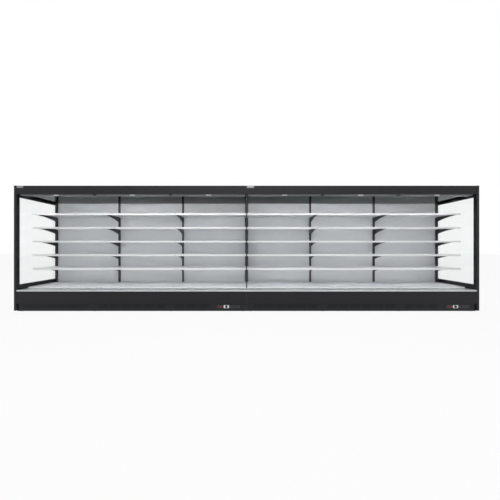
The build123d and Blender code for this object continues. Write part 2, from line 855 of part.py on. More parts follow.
# ---- Evaporator coils: fins on straight tubes between two end plates that stand on the tub ----
coil_length = case_length - 2 * coil_inset
fin_count = int((coil_length - fin_pitch) // fin_pitch)
bend_spots = []
for column in range(bend_columns):
    for row in range(bend_rows):
        bend_y = coil_front + bend_first + bend_column_pitch * column
        bend_z = coil_underside + bend_lowest + bend_row_pitch * row
        bend_spots.append((bend_y, bend_z))
tube_spots = [(y, z + side * bend_radius) for y, z in bend_spots for side in (-1, 1)]

with BuildPart() as one_coil:
    with BuildSketch(Plane.XY.offset(coil_underside)):
        with Locations((0, (coil_front + coil_back) / 2)):
            with GridLocations(fin_pitch, 1, fin_count, 1):
                Rectangle(fin_thickness, coil_back - coil_front)
    extrude(amount=coil_top - coil_underside)
    with BuildSketch(*across(coil_length, [0])):
        with Locations(*tube_spots):
            Circle(bend_tube_radius)
    extrude(amount=coil_length, clean=False)
    end_plate_centres = [side * (coil_length + coil_end_plate) / 2 for side in (-1, 1)]
    with BuildSketch(*across(coil_end_plate, end_plate_centres)):
        with Locations(((coil_front + coil_back) / 2, (tub_inside + coil_top + coil_plate_rim) / 2)):
            plate_depth = coil_back - coil_front + 2 * coil_plate_rim
            Rectangle(plate_depth, coil_top + coil_plate_rim - tub_inside)
    extrude(amount=coil_end_plate, clean=False)

with BuildPart() as evaporators:
    with Locations(*[(x, 0, 0) for x in case_centres]):
        add(one_coil.part, clean=False)
evaporators.part.label = "evaporators"
export_step(evaporators.part, "parts/evaporators.step")

# ---- Pipes: return bends on the coil's ends, suction and liquid lines to the roof ----
suction_y = coil_front + suction_offset
suction_z = coil_top - suction_drop
liquid_y = coil_front + liquid_offset
liquid_z = coil_underside + liquid_rise
bend_faces = []
for x in case_centres:
    bend_faces.append((x - coil_length / 2 - coil_end_plate, -1))
    bend_faces.append((x + coil_length / 2 + coil_end_plate, 1))


def pipe_route(start, reach, first_y, level):
    """Corners of a pipe from the coil's end plate, back to the duct and up above the roof."""
    return (
        (start, first_y, level),
        (start + reach, first_y, level),
        (start + reach, pipe_y, level),
        (start + reach, pipe_y, pipe_tops),
    )


with BuildPart() as refrigerant_pipes:
    for face_x, side in bend_faces:
        for y, z in bend_spots:
            if side > 0 and (y, z) == bend_spots[0]:
                continue  # the coil's inlet and outlet are here
            lower = Vector(face_x, y, z - bend_radius)
            crown = Vector(face_x + side * bend_radius, y, z)
            upper = Vector(face_x, y, z + bend_radius)
            with BuildLine() as bend_path:
                ThreePointArc(lower, crown, upper)
            with BuildSketch(Plane(lower, z_dir=(side, 0, 0))):
                Circle(bend_tube_radius)
            sweep(path=bend_path.line)
    for start in coil_ends:
        for radius, reach, first_y, level, corner in (
            (suction_radius, suction_reach, suction_y, suction_z, suction_bend),
            (liquid_radius, liquid_reach, liquid_y, liquid_z, liquid_bend),
        ):
            with BuildLine() as pipe_path:
                FilletPolyline(*pipe_route(start, reach, first_y, level), radius=corner)
            with BuildSketch(Plane((start, first_y, level), z_dir=(1, 0, 0))):
                Circle(radius)
                Circle(radius - pipe_wall, mode=Mode.SUBTRACT)
            sweep(path=pipe_path.line)
            socket_shoulder = 2 * pipe_wall
            with BuildSketch(Plane.XY.offset(pipe_tops - socket_length - socket_shoulder)):
                with Locations((start + reach, pipe_y)):
                    Circle(radius + socket_clearance + pipe_wall)
                    Circle(radius - pipe_wall, mode=Mode.SUBTRACT)
            extrude(amount=socket_length + socket_shoulder)
            with BuildSketch(Plane.XY.offset(pipe_tops - socket_length)):
                with Locations((start + reach, pipe_y)):
                    Circle(radius + socket_clearance)
            extrude(amount=socket_length, mode=Mode.SUBTRACT)
refrigerant_pipes.part.label = "refrigerant_pipes"
export_step(refrigerant_pipes.part, "parts/refrigerant_pipes.step")

# ---- Back panels: one sheet per bay, in front of the rear air duct ----
panel_bottom = support_rail_top - panel_drop
panel_length = bay - 2 * panel_gap
with BuildPart() as back_panels:
    with BuildSketch(*across(panel_length, bay_centres)):
        with Locations(((panel_front + panel_back) / 2, (panel_bottom + ceiling_top) / 2)):
            Rectangle(sheet, ceiling_top - panel_bottom)
    extrude(amount=panel_length)
back_panels.part.label = "back_panels"
export_step(back_panels.part, "parts/back_panels.step")

# ---- Uprights: slotted channels on the tub floor, with stand-offs behind the panels ----
slot_base = lowest_shelf - hook_drop
slots_below = int((slot_base - deck_top - slot_height) // slot_pitch)
slots_above = int((ceiling_underside - slot_height - slot_base) // slot_pitch)
slot_heights = [slot_base + k * slot_pitch for k in range(-slots_below, slots_above + 1)]

with BuildPart() as one_upright:
    with BuildSketch(Plane.XY.offset(tub_inside)):
        with Locations((0, (upright_front + panel_front) / 2)):
            Rectangle(upright_width, upright_depth)
        with Locations((0, (upright_front + upright_wall + panel_front) / 2)):
            Rectangle(upright_width - 2 * upright_wall, upright_depth - upright_wall, mode=Mode.SUBTRACT)
    extrude(amount=ceiling_underside - tub_inside)
    with BuildSketch(facing(upright_front)):
        with Locations(*[(side * slot_columns, z) for side in (-1, 1) for z in slot_heights]):
            Rectangle(slot_width, slot_height)
    extrude(amount=-upright_wall, mode=Mode.SUBTRACT)
    with BuildSketch(facing(panel_back)):
        with Locations(*[(0, z) for z in standoff_levels]):
            Rectangle(upright_width, standoff_height)
    extrude(amount=-duct)

with BuildPart() as slotted_uprights:
    with Locations(*[(x, 0, 0) for x in all_uprights]):
        add(one_upright.part, clean=False)
slotted_uprights.part.label = "slotted_uprights"
export_step(slotted_uprights.part, "parts/slotted_uprights.step")

# ---- Shelves: folded sheet, one per bay and level ----
with BuildPart() as shelves:
    for top in shelf_tops:
        with BuildSketch(*across(shelf_length, bay_centres)):
            with BuildLine():
                Polyline(
                    (shelf_front, top - shelf_lip),
                    (shelf_front + sheet, top - shelf_lip),
                    (shelf_front + sheet, top - sheet),
                    (shelf_back - sheet, top - sheet),
                    (shelf_back - sheet, top - shelf_back_lip),
                    (shelf_back, top - shelf_back_lip),
                    (shelf_back, top),
                    (shelf_front, top),
                    close=True,
                )
            make_face()
        extrude(amount=shelf_length)
shelves.part.label = "shelves"
export_step(shelves.part, "parts/shelves.step")

# ---- Shelf brackets: tapered plates that hook into the uprights ----
bracket_centres = []
for start in case_starts:
    posts = upright_centres(start)
    for left, right in zip(posts[:-1], posts[1:]):
        bracket_centres.append(left + slot_columns)
        bracket_centres.append(right - slot_columns)

# The bracket's rear edge stays clear of the shelf's back lip.
bracket_tip_y = shelf_front + bracket_front
bracket_heel_y = shelf_back - sheet - seat


def hook_outline(top, drop):
    """A hook that rests on its slot's lower edge and drops behind the upright's face."""
    foot = top - drop - slot_height / 2
    inner = upright_front + upright_wall + seat
    tip = upright_front + hook_depth
    return (
        (upright_front - hook_bury, foot + hook_height),
        (tip, foot + hook_height),
        (tip, foot - hook_leg),
        (inner, foot - hook_leg),
        (inner, foot),
        (upright_front - hook_bury, foot),
    )


with BuildPart() as shelf_brackets:
    for top in shelf_tops:
        under = top - sheet
        with BuildSketch(*across(bracket_thickness, bracket_centres)):
            with BuildLine():
                tip_bottom = (bracket_tip_y, under - bracket_tip)
                root_bottom = (upright_front, under - bracket_root)
                heel_top = top - shelf_back_lip - seat
                Polyline(
                    tip_bottom,
                    (bracket_tip_y, under),
                    (bracket_heel_y, under),
                    (bracket_heel_y, heel_top),
                    (upright_front, heel_top),
                    root_bottom,
                )
                middle_y = (bracket_tip_y + upright_front) / 2
                middle_z = under - (bracket_tip + bracket_root) / 2 + bracket_sag
                ThreePointArc(root_bottom, (middle_y, middle_z), tip_bottom)
            make_face()
            for drop in (hook_drop, hook_drop + slot_pitch):
                with BuildLine():
                    Polyline(*hook_outline(top, drop), close=True)
                make_face()
        extrude(amount=bracket_thickness)
shelf_brackets.part.label = "shelf_brackets"
export_step(shelf_brackets.part, "parts/shelf_brackets.step")

# ---- Price rails: open channels on the shelves' front edges ----
rail_back = shelf_front
rail_face = rail_back - rail_depth
with BuildPart() as price_rails:
    for top in shelf_tops:
        with BuildSketch(*across(shelf_length, bay_centres)):
            with BuildLine():
                Polyline(
                    (rail_face, top + sheet - rail_height),
                    (rail_back, top + sheet - rail_height),
                    (rail_back, top + sheet),
                    (rail_face, top + sheet),
                    (rail_face, top + sheet - rail_skin),
                    (rail_back - rail_skin, top + sheet - rail_skin),
                    (rail_back - rail_skin, top + sheet - rail_height + rail_skin),
                    (rail_face, top + sheet - rail_height + rail_skin),
                    close=True,
                )
            make_face()
        extrude(amount=shelf_length)
price_rails.part.label = "price_rails"
export_step(price_rails.part, "parts/price_rails.step")

# ---- LED bars: one under each shelf, and one per bay under the canopy's lip ----
led_length = bay - 2 * led_end_gap
shelf_led_y = shelf_front + shelf_led_setback + led_width / 2
canopy_led_y = nose + canopy_led_gap + led_width / 2
with BuildPart() as led_bars:
    with BuildSketch(*across(led_length, bay_centres)):
        for top in shelf_tops:
            with Locations((shelf_led_y, top - sheet - led_height / 2)):
                Trapezoid(led_width, led_height, led_slope, rotation=180)
        with Locations((canopy_led_y, ceiling_underside - led_height / 2)):
            Trapezoid(led_width, led_height, led_slope, rotation=180)
    extrude(amount=led_length)
led_bars.part.label = "led_bars"
export_step(led_bars.part, "parts/led_bars.step")

# ---- Canopy fascia: folded sheet that hides the night blinds ----
with BuildPart() as fascias:
    with BuildSketch(*across(run, case_centres)):
        with BuildLine():
            Polyline(
                (skin, fascia_bottom),
                (skin + fascia_return, fascia_bottom),
                (skin + fascia_return, fascia_bottom + sheet),
                (skin + sheet, fascia_bottom + sheet),
                (skin + sheet, canopy_top - sheet),
                (housing_back, canopy_top - sheet),
                (housing_back, canopy_top),
                (skin, canopy_top),
                close=True,
            )
        make_face()
    extrude(amount=run)
fascias.part.label = "fascias"
export_step(fascias.part, "parts/fascias.step")

# ---- Blind housings: inner plate with a lower lip, and the rollers' brackets with their pins ----
bracket_faces = []
for x in bay_centres:
    bracket_faces.append((x - bay / 2 + roller_bracket_inset, 1))
    bracket_faces.append((x + bay / 2 - roller_bracket_inset, -1))
bracket_outer = roller_y - roll_radius / 2
with BuildPart() as blind_housings:
    with BuildSketch(*across(run, case_centres)):
        with BuildLine():
            Polyline(
                (nose, ceiling_underside),
                (honeycomb_front, ceiling_underside),
                (honeycomb_front, ceiling_top),
                (housing_back, ceiling_top),
                (housing_back, canopy_top - sheet),
                (housing_front, canopy_top - sheet),
                (housing_front, ceiling_top),
                (nose, ceiling_top),
                close=True,
            )
        make_face()
    extrude(amount=run)
    for x, side in bracket_faces:
        with BuildSketch(Plane((x, 0, 0), x_dir=(0, side, 0), z_dir=(side, 0, 0))):
            with Locations((side * (bracket_outer + housing_front - seat) / 2, roller_height)):
                Rectangle(housing_front - seat - bracket_outer, 2 * roller_bracket_half_height)
        extrude(amount=roller_bracket_width)
        with BuildSketch(Plane((x, 0, 0), x_dir=(0, side, 0), z_dir=(side, 0, 0))):
            with Locations((side * roller_y, roller_height)):
                Circle(roller_pin_radius)
        extrude(amount=roller_bracket_width + roller_end_gap + roller_pin_length)
blind_housings.part.label = "blind_housings"
export_step(blind_housings.part, "parts/blind_housings.step")

# ---- Night blinds: roller with the rolled cloth, free strip of cloth, pull bar and handle ----
roller_inset = roller_bracket_inset + roller_bracket_width + roller_end_gap
roller_length = bay - 2 * roller_inset
cloth_width = bay - 2 * cloth_inset
bar_length = bay - 2 * bar_inset
handle_back = blind_y - bar_depth / 2 - seat
pin_bore = roller_pin_radius + bearing_clearance

for number, x in enumerate(bay_centres, 1):
    with BuildPart() as roller:
        with BuildSketch(*across(roller_length, [x])):
            with Locations((roller_y, roller_height)):
                Circle(roller_tube_radius)
                Circle(pin_bore, mode=Mode.SUBTRACT)
        extrude(amount=roller_length)
        with BuildSketch(*across(roller_length - 2 * roller_plug, [x])):
            with Locations((roller_y, roller_height)):
                Circle(roller_tube_radius - roller_tube_wall)
        extrude(amount=roller_length - 2 * roller_plug, mode=Mode.SUBTRACT)
        with BuildSketch(*across(cloth_width, [x])):
            with Locations((roller_y, roller_height)):
                Circle(roll_radius)
                Circle(roller_tube_radius + seat, mode=Mode.SUBTRACT)
        extrude(amount=cloth_width)
    roller.part.label = f"blind_roller_{number}"
    export_step(roller.part, f"parts/blind_roller_{number}.step")

    with BuildPart() as cloth:
        with BuildSketch(*across(cloth_width, [x])):
            with Locations((blind_y, (bar_top + roller_height) / 2)):
                Rectangle(cloth_thickness, roller_height - bar_top)
        extrude(amount=cloth_width)
    cloth.part.label = f"blind_cloth_{number}"
    export_step(cloth.part, f"parts/blind_cloth_{number}.step")

    with BuildPart() as bar:
        with BuildSketch(*across(bar_length, [x])):
            with Locations((blind_y, (bar_top + bar_bottom) / 2)):
                RectangleRounded(bar_depth, bar_height, bar_corner)
                inner_corner = bar_corner - bar_wall
                bar_inside = (bar_depth - 2 * bar_wall, bar_height - 2 * bar_wall)
                RectangleRounded(*bar_inside, inner_corner, mode=Mode.SUBTRACT)
        extrude(amount=bar_length)
        with BuildSketch(*across(handle_length, [x])):
            with BuildLine():
                Polyline(
                    (handle_back, handle_top),
                    (handle_back - handle_depth / 2, handle_top),
                )
                ThreePointArc(
                    (handle_back - handle_depth / 2, handle_top),
                    (handle_back - handle_depth, handle_top - handle_height / 2),
                    (handle_back - handle_depth / 2, handle_top - handle_height),
                )
                Polyline(
                    (handle_back - handle_depth / 2, handle_top - handle_height),
                    (handle_back, handle_top - handle_height),
                    (handle_back, handle_top),
                )
            make_face()
        extrude(amount=handle_length)
    bar.part.label = f"blind_bar_{number}"
    export_step(bar.part, f"parts/blind_bar_{number}.step")

# ---- Air outlet honeycomb: slotted block between the housing's lip and the ceiling ----
with BuildPart() as one_honeycomb:
    with BuildSketch(*across(panel_length, [0])):
        with Locations(((honeycomb_front + honeycomb_back) / 2, ceiling_underside + honeycomb_height / 2)):
            Rectangle(honeycomb_width, honeycomb_height)
    extrude(amount=panel_length)
    with BuildSketch(Plane.XY.offset(ceiling_underside)):
        with Locations((0, (honeycomb_front + honeycomb_back) / 2)):
            with GridLocations(1, honeycomb_pitch, 1, honeycomb_slots):
                Rectangle(panel_length - 2 * honeycomb_slot, honeycomb_slot)
    extrude(amount=honeycomb_height, mode=Mode.SUBTRACT)

with BuildPart() as honeycombs:
    with Locations(*[(x, 0, 0) for x in bay_centres]):
        add(one_honeycomb.part, clean=False)
honeycombs.part.label = "honeycombs"
export_step(honeycombs.part, "parts/honeycombs.step")

# ---- Ceiling panels: sheet under the supply duct, hung on posts from the roof ----
hanger = upright_width
hanger_rows = (honeycomb_back + hanger, (honeycomb_back + panel_front) / 2, panel_front - hanger)
with BuildPart() as ceiling_panels:
    with BuildSketch(*across(panel_length, bay_centres)):
        with Locations(((honeycomb_back + panel_front) / 2, (ceiling_underside + ceiling_top) / 2)):
            Rectangle(panel_front - honeycomb_back, sheet)
    extrude(amount=panel_length)
    with BuildSketch(Plane.XY.offset(ceiling_top)):
        for y in hanger_rows:
            with Locations(*[(x + side * bay / 4, y) for x in bay_centres for side in (-1, 1)]):
                Rectangle(hanger, hanger)
    extrude(amount=roof_underside - ceiling_top)
ceiling_panels.part.label = "ceiling_panels"
export_step(ceiling_panels.part, "parts/ceiling_panels.step")

# ---- Centre divider: clear pane where two cases meet, with a slim front trim ----
with BuildPart() as centre_divider:
    with BuildSketch(*across(divider_thickness, joints_between_cases)):
        with Locations(((deck_front + upright_front) / 2, (deck_top + ceiling_underside) / 2)):
            Rectangle(upright_front - deck_front, ceiling_underside - deck_top)
    extrude(amount=divider_thickness)
centre_divider.part.label = "centre_divider"
export_step(centre_divider.part, "parts/centre_divider.step")

trim_bottom = support_rail_top + sheet
with BuildPart() as divider_trim:
    with BuildSketch(*across(divider_trim_width, joints_between_cases)):
        with Locations((deck_front - divider_trim_depth / 2, (trim_bottom + ceiling_underside) / 2)):
            Rectangle(divider_trim_depth, ceiling_underside - trim_bottom)
    extrude(amount=divider_trim_width)
    fillet(divider_trim.edges().filter_by(Axis.Z).group_by(Axis.Y)[0], radius=divider_trim_corner)
divider_trim.part.label = "divider_trim"
export_step(divider_trim.part, "parts/divider_trim.step")

# ---- Terminal boxes: open-bottomed box on each roof, with a cable gland in its back ----
gland_z = roof_top + box_height / 2
box_back = box_y + box_depth / 2
with BuildPart() as terminal_boxes:
    with BuildSketch(Plane.XY.offset(roof_top)):
        with Locations(*[(x, box_y) for x in case_centres]):
            Rectangle(box_length, box_depth)
    extrude(amount=box_height)
    fillet(terminal_boxes.edges().filter_by(Axis.Z), radius=box_corner)
    with BuildSketch(Plane.XY.offset(roof_top)):
        with Locations(*[(x, box_y) for x in case_centres]):
            Rectangle(box_length - 2 * box_wall, box_depth - 2 * box_wall)
    extrude(amount=box_height - box_wall, mode=Mode.SUBTRACT)
    with BuildSketch(facing(box_back)):
        with Locations(*[(x, gland_z) for x in case_centres]):
            RegularPolygon(gland_flange, 6, major_radius=False)
    extrude(amount=-gland_length / 2)
    with BuildSketch(facing(box_back)):
        with Locations(*[(x, gland_z) for x in case_centres]):
            Circle(gland_outer)
    extrude(amount=-(gland_length - box_wall))
    with BuildSketch(facing(box_back - box_wall)):
        with Locations(*[(x, gland_z) for x in case_centres]):
            Circle(gland_bore)
    extrude(amount=-gland_length, mode=Mode.SUBTRACT)
terminal_boxes.part.label = "terminal_boxes"
export_step(terminal_boxes.part, "parts/terminal_boxes.step")
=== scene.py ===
import math

import bmesh
import bpy
from mathutils import Matrix, Vector


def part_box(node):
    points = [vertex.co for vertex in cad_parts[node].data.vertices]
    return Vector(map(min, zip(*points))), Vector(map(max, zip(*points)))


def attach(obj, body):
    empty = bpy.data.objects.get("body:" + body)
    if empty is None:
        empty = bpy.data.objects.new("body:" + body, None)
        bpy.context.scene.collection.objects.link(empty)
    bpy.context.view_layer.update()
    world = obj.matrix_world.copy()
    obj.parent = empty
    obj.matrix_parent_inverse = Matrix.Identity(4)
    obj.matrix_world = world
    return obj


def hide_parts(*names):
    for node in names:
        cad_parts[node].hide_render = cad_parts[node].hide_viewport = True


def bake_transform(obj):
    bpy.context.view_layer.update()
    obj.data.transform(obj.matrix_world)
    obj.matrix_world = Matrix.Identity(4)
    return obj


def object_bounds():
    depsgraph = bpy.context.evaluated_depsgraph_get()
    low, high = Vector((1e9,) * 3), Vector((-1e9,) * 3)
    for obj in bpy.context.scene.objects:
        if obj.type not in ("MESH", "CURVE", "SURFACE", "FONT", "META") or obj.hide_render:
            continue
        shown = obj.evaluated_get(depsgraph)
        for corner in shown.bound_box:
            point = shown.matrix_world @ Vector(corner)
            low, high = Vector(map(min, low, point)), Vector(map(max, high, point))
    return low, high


# Looks of an open multideck display fridge: a line-up of two cases between glazed end walls.
# X runs along the line-up, the open front faces -Y and +Z is up. Lengths are metres.

bl_info = {
    "name": "Multideck Display Fridge",
    "version": (1, 0, 0),
    "blender": (4, 5, 0),
    "location": "3D View > Sidebar > Fridge",
    "description": "Dresses the display fridge's solids with pieces and finishes",
    "category": "Object",
}

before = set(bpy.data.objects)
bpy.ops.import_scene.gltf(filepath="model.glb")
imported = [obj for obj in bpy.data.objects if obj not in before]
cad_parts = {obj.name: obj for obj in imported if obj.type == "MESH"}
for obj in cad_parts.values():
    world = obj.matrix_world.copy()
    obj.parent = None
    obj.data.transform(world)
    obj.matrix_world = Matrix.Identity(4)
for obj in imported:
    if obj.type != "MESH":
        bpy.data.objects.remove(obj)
cad_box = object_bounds()

MM = 0.001
CASES = 2
BAYS = 6
LEVELS = 5

# Domed screw heads and caps: sides, and the tiny radius that closes a dome at its top.
SCREW_SIDES = 16
POINT = 0.01 * MM

# The turns that set a flat outline square to an axis.
SQUARE_TO = {
    "X": Matrix.Rotation(math.pi / 2, 3, "Y"),
    "Y": Matrix.Rotation(math.pi / 2, 3, "X"),
    "Z": Matrix.Identity(3),
}


def linear(hex_colour):
    """An sRGB hex colour as linear red, green and blue."""
    channels = [int(hex_colour[i : i + 2], 16) / 255 for i in (1, 3, 5)]
    return tuple(c / 12.92 if c <= 0.04045 else ((c + 0.055) / 1.055) ** 2.4 for c in channels)


def colour_setting(name, hex_colour, description):
    """A colour that the user can change, given as sRGB hex."""
    return bpy.props.FloatVectorProperty(
        name=name, description=description, default=linear(hex_colour), subtype="COLOR", min=0.0, max=1.0
    )


def length_setting(name, millimetres, description):
    """A length that the user can change, given in millimetres."""
    return bpy.props.FloatProperty(
        name=name, description=description, default=millimetres * MM, unit="LENGTH", min=0.0
    )


def number_setting(name, value, description, lowest=0.0):
    """A plain number that the user can change."""
    return bpy.props.FloatProperty(name=name, description=description, default=value, min=lowest)


class FridgeSizes(bpy.types.PropertyGroup):
    """Sizes of the pieces that dress the solids."""

    case_length: length_setting("Case length", 3750, "Length of one case along the line-up")
    shelf_pitch: length_setting("Shelf pitch", 240, "Height from one shelf to the next")
    cell: length_setting("Honeycomb cell", 12, "Width of a honeycomb cell across its flats")
    cell_wall: length_setting("Cell wall", 1.4, "Wall round a cell, drawn thicker than it is to show")
    cloth_length: length_setting("Blind cloth length", 1600, "Cut length of a night blind's cloth")
    cloth_thickness: length_setting("Cloth thickness", 0.4, "Thickness of the night blind's cloth")
    glass_border: length_setting("Glass border", 12, "Width of the black enamel round an end pane")
    label_height: length_setting("Label height", 24, "Height of the blank strip in a price rail")
    badge_height: length_setting("Badge height", 34, "Height of the blank plates on the fascia")
    perforation: length_setting("Perforation pitch", 24, "Pitch of the air holes in the back panels")


class FridgeFinishes(bpy.types.PropertyGroup):
    """Colours of the finishes, as they look in daylight."""

    fascia: colour_setting("Fascia", "#1d1d20", "Powder coat of the canopy and the riser")
    kick: colour_setting("Kick plate", "#1e2124", "Powder coat of the kick plate")
    end_wall: colour_setting("End wall", "#232425", "Coat of the end walls' frames")
    interior: colour_setting("Interior white", "#e4e6e7", "Coat of shelves, trays and back panels")
    bracket: colour_setting("Brackets", "#3b3e41", "Coat of the uprights and shelf brackets")
    bumper: colour_setting("Bumper", "#d4d5d7", "Anodised bumper profile")
    blind: colour_setting("Blind cloth", "#a9adb0", "Woven aluminised cloth of the night blinds")
    handle: colour_setting("Handles", "#f0f1f1", "Moulded pull handles of the night blinds")


class FridgeStage(bpy.types.PropertyGroup):
    """Camera and lamps round the fridge, and the lamps in it."""

    lens: number_setting("Lens", 18.17, "Focal length on a 36 mm sensor", 5.0)
    shift_x: number_setting("Shift across", 0.0068, "Sideways shift, as a share of the picture", -1.0)
    shift_y: number_setting("Shift up", -0.0048, "Upward shift, as a share of the picture", -1.0)
    distance: length_setting("Camera distance", 4110, "From the camera to the fridge's front plane")
    height: length_setting("Camera height", 1044, "Height of the camera above the floor")
    lamp_watts: number_setting("Softbox power", 145.0, "Power of the large softbox")
    sky_light: number_setting("Sky light", 0.5, "Strength of the plain light from all round")
    floor_glow: number_setting("Floor glow", 0.9, "Share of plain white in the floor as it is seen")
    led_strength: number_setting("LED strength", 22.0, "Emission of the LED diffusers")
    canopy_boost: number_setting("Canopy boost", 3.0, "Canopy lamps over shelf lamps, in strength")


# ---- Mesh helpers ----


def new_piece(name, bm, finish_name, body="root", replaces=()):
    """Turns a bmesh into a shown piece with its finish, riding on a body of the frame."""
    mesh = bpy.data.meshes.new(name)
    bm.to_mesh(mesh)
    bm.free()
    mesh.materials.append(finish(finish_name))
    piece = bpy.data.objects.new(name, mesh)
    bpy.context.scene.collection.objects.link(piece)
    if body:
        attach(piece, body)
    if replaces:
        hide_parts(*replaces)
    return piece


def repeat(piece, name, count, offset):
    """Repeats a piece at an even step."""
    array = piece.modifiers.new(name, "ARRAY")
    array.count = count
    array.use_relative_offset = False
    array.use_constant_offset = True
    array.constant_offset_displace = offset


def move(bm, verts, offset):
    """Shifts points by an offset."""
    bmesh.ops.translate(bm, verts=verts, vec=Vector(offset))


def points_in(geometry):
    """The points among the elements that an extrusion made."""
    return [v for v in geometry if isinstance(v, bmesh.types.BMVert)]


def lift(bm, faces, offset):
    """Extrudes faces by an offset and gives back the new points."""
    top = points_in(bmesh.ops.extrude_face_region(bm, geom=faces)["geom"])
    move(bm, top, offset)
    return top


def start_block(bm, low, high, axis):
    """Draws the flat outline of a block at the origin, and gives its points and the block's thickness."""
    size = [abs(c) for c in SQUARE_TO[axis].inverted() @ (Vector(high) - Vector(low))]
    made = bmesh.ops.create_grid(bm, x_segments=1, y_segments=1, size=0.5)["verts"]
    bmesh.ops.scale(bm, vec=(size[0], size[1], 1), verts=made)
    return made, size[2]


def raise_block(bm, faces, thickness, low, high, axis):
    """Gives an outline its thickness, and sets it square to the axis between low and high."""
    top = lift(bm, faces, (0, 0, thickness))
    bottom = {e.other_vert(v) for v in top for e in v.link_edges} - set(top)
    everything = list(bottom | set(top))
    move(bm, everything, (0, 0, -thickness / 2))
    bmesh.ops.rotate(bm, cent=(0, 0, 0), matrix=SQUARE_TO[axis], verts=everything)
    move(bm, everything, (Vector(high) + Vector(low)) / 2)
    bmesh.ops.recalc_face_normals(bm, faces=list({f for v in everything for f in v.link_faces}))
    return everything


def plate(bm, low, high, corner=0.0, segments=4, axis="Y"):
    """A flat block from low to high, its outline drawn square to an axis with rounded corners."""
    made, thickness = start_block(bm, low, high, axis)
    face = made[0].link_faces[0]
    if corner:
        rounded = bmesh.ops.bevel(
            bm, geom=made, offset=corner, segments=segments, profile=0.5, affect="VERTICES", material=-1
        )
        outline = set(rounded["verts"])
        face = next(f for f in bm.faces if outline.issuperset(f.verts))
    return raise_block(bm, [face], thickness, low, high, axis)


def open_face(bm, face, wall):
    """Cuts a face out, all but a rim, and gives back the rim's faces."""
    rim = bmesh.ops.inset_region(
        bm, faces=[face], thickness=wall, use_even_offset=True, use_boundary=True
    )["faces"]
    bmesh.ops.delete(bm, geom=[face], context="FACES_ONLY")
    return rim


def ring(bm, low, high, wall, axis):
    """A flat rectangular ring from low to high, its opening looking along an axis."""
    made, thickness = start_block(bm, low, high, axis)
    rim = open_face(bm, made[0].link_faces[0], wall)
    return raise_block(bm, rim, thickness, low, high, axis)


def lathe(bm, profile, centre, axis, steps, closed=False):
    """A turned shape: profile points are (along, radius) about the axis through centre."""
    direction = Vector(axis)
    outward = Vector((0, 0, 1)) if abs(direction.z) < 0.5 else Vector((1, 0, 0))
    points = [bm.verts.new(Vector(centre) + direction * along + outward * r) for along, r in profile]
    edges = [bm.edges.new(pair) for pair in zip(points[:-1], points[1:])]
    if closed:
        edges.append(bm.edges.new((points[-1], points[0])))
    turned = {"cent": centre, "axis": direction, "angle": 2 * math.pi, "steps": steps}
    bmesh.ops.spin(bm, geom=points + edges, use_merge=True, **turned)
    bmesh.ops.remove_doubles(bm, verts=bm.verts[:], dist=1e-6)
    bmesh.ops.recalc_face_normals(bm, faces=bm.faces[:])


def smooth_by_angle(piece):
    """Shades a piece smooth except at edges that turn by more than 35 degrees."""
    bm = bmesh.new()
    bm.from_mesh(piece.data)
    for face in bm.faces:
        face.smooth = True
    for edge in bm.edges:
        if len(edge.link_faces) == 2 and edge.calc_face_angle(0) > math.radians(35):
            edge.smooth = False
    bm.to_mesh(piece.data)
    bm.free()


# ---- Finishes ----


def add_node(tree, kind, settings=None, links=None):
    """Adds one node. Settings go to its own options or its sockets, links join sockets to outputs."""
    node = tree.nodes.new(kind)
    for key, value in (settings or {}).items():
        if isinstance(key, str) and hasattr(node, key):
            setattr(node, key, value)
        else:
            node.inputs[key].default_value = value
    for key, source in (links or {}).items():
        tree.links.new(source, node.inputs[key])
    return node


def start_material(name, values=None):
    """A new material with its shader and the shader's plain values, and the object's own coordinates."""
    material = bpy.data.materials.new(name)
    material.use_nodes = True
    tree = material.node_tree
    tree.nodes.clear()
    shader = add_node(tree, "ShaderNodeBsdfPrincipled", values)
    add_node(tree, "ShaderNodeOutputMaterial", links={"Surface": shader.outputs[0]})
    place = add_node(tree, "ShaderNodeTexCoord").outputs["Object"]
    return material, tree, shader, place


def shade(colour, factor):
    """A colour made lighter or darker, as RGBA."""
    return (*[min(1.0, c * factor) for c in colour], 1.0)


def rgba(hex_colour):
    """An sRGB hex colour as linear RGBA."""
    return shade(linear(hex_colour), 1)


def noise_at(tree, place, grain_mm, detail=2.0, stretch=(1, 1, 1)):
    """Noise whose features are about grain_mm wide, stretched along the axes."""
    mapping = add_node(tree, "ShaderNodeMapping", {"Scale": stretch}, {"Vector": place})
    settings = {"Scale": 1 / (grain_mm * MM), "Detail": detail, "Roughness": 0.55}
    noise = add_node(tree, "ShaderNodeTexNoise", settings, {"Vector": mapping.outputs[0]})
    return noise.outputs["Fac"]


def tint_between(tree, factor, low, high, start=0.3, end=0.7):
    """A colour that runs between two tints as a factor does."""
    ramp = add_node(tree, "ShaderNodeValToRGB", links={"Fac": factor})
    ramp.color_ramp.elements[0].position = start
    ramp.color_ramp.elements[0].color = low
    ramp.color_ramp.elements[1].position = end
    ramp.color_ramp.elements[1].color = high
    return ramp.outputs["Color"]


def grade(tree, value, start, end, low=0.0, high=1.0):
    """A number that runs from low to high as a value runs from start to end."""
    settings = {"From Min": start, "From Max": end, "To Min": low, "To Max": high}
    return add_node(tree, "ShaderNodeMapRange", settings, {"Value": value}).outputs["Result"]


def reckon(tree, operation, first, second=None):
    """A maths node on one output, or on two, where the second may be a plain number."""
    settings, links = {"operation": operation}, {0: first}
    if second is not None:
        (links if isinstance(second, bpy.types.NodeSocket) else settings)[1] = second
    return add_node(tree, "ShaderNodeMath", settings, links).outputs[0]


def axis_of(tree, vector, axis):
    """One axis of a vector output."""
    return add_node(tree, "ShaderNodeSeparateXYZ", links={"Vector": vector}).outputs[axis]


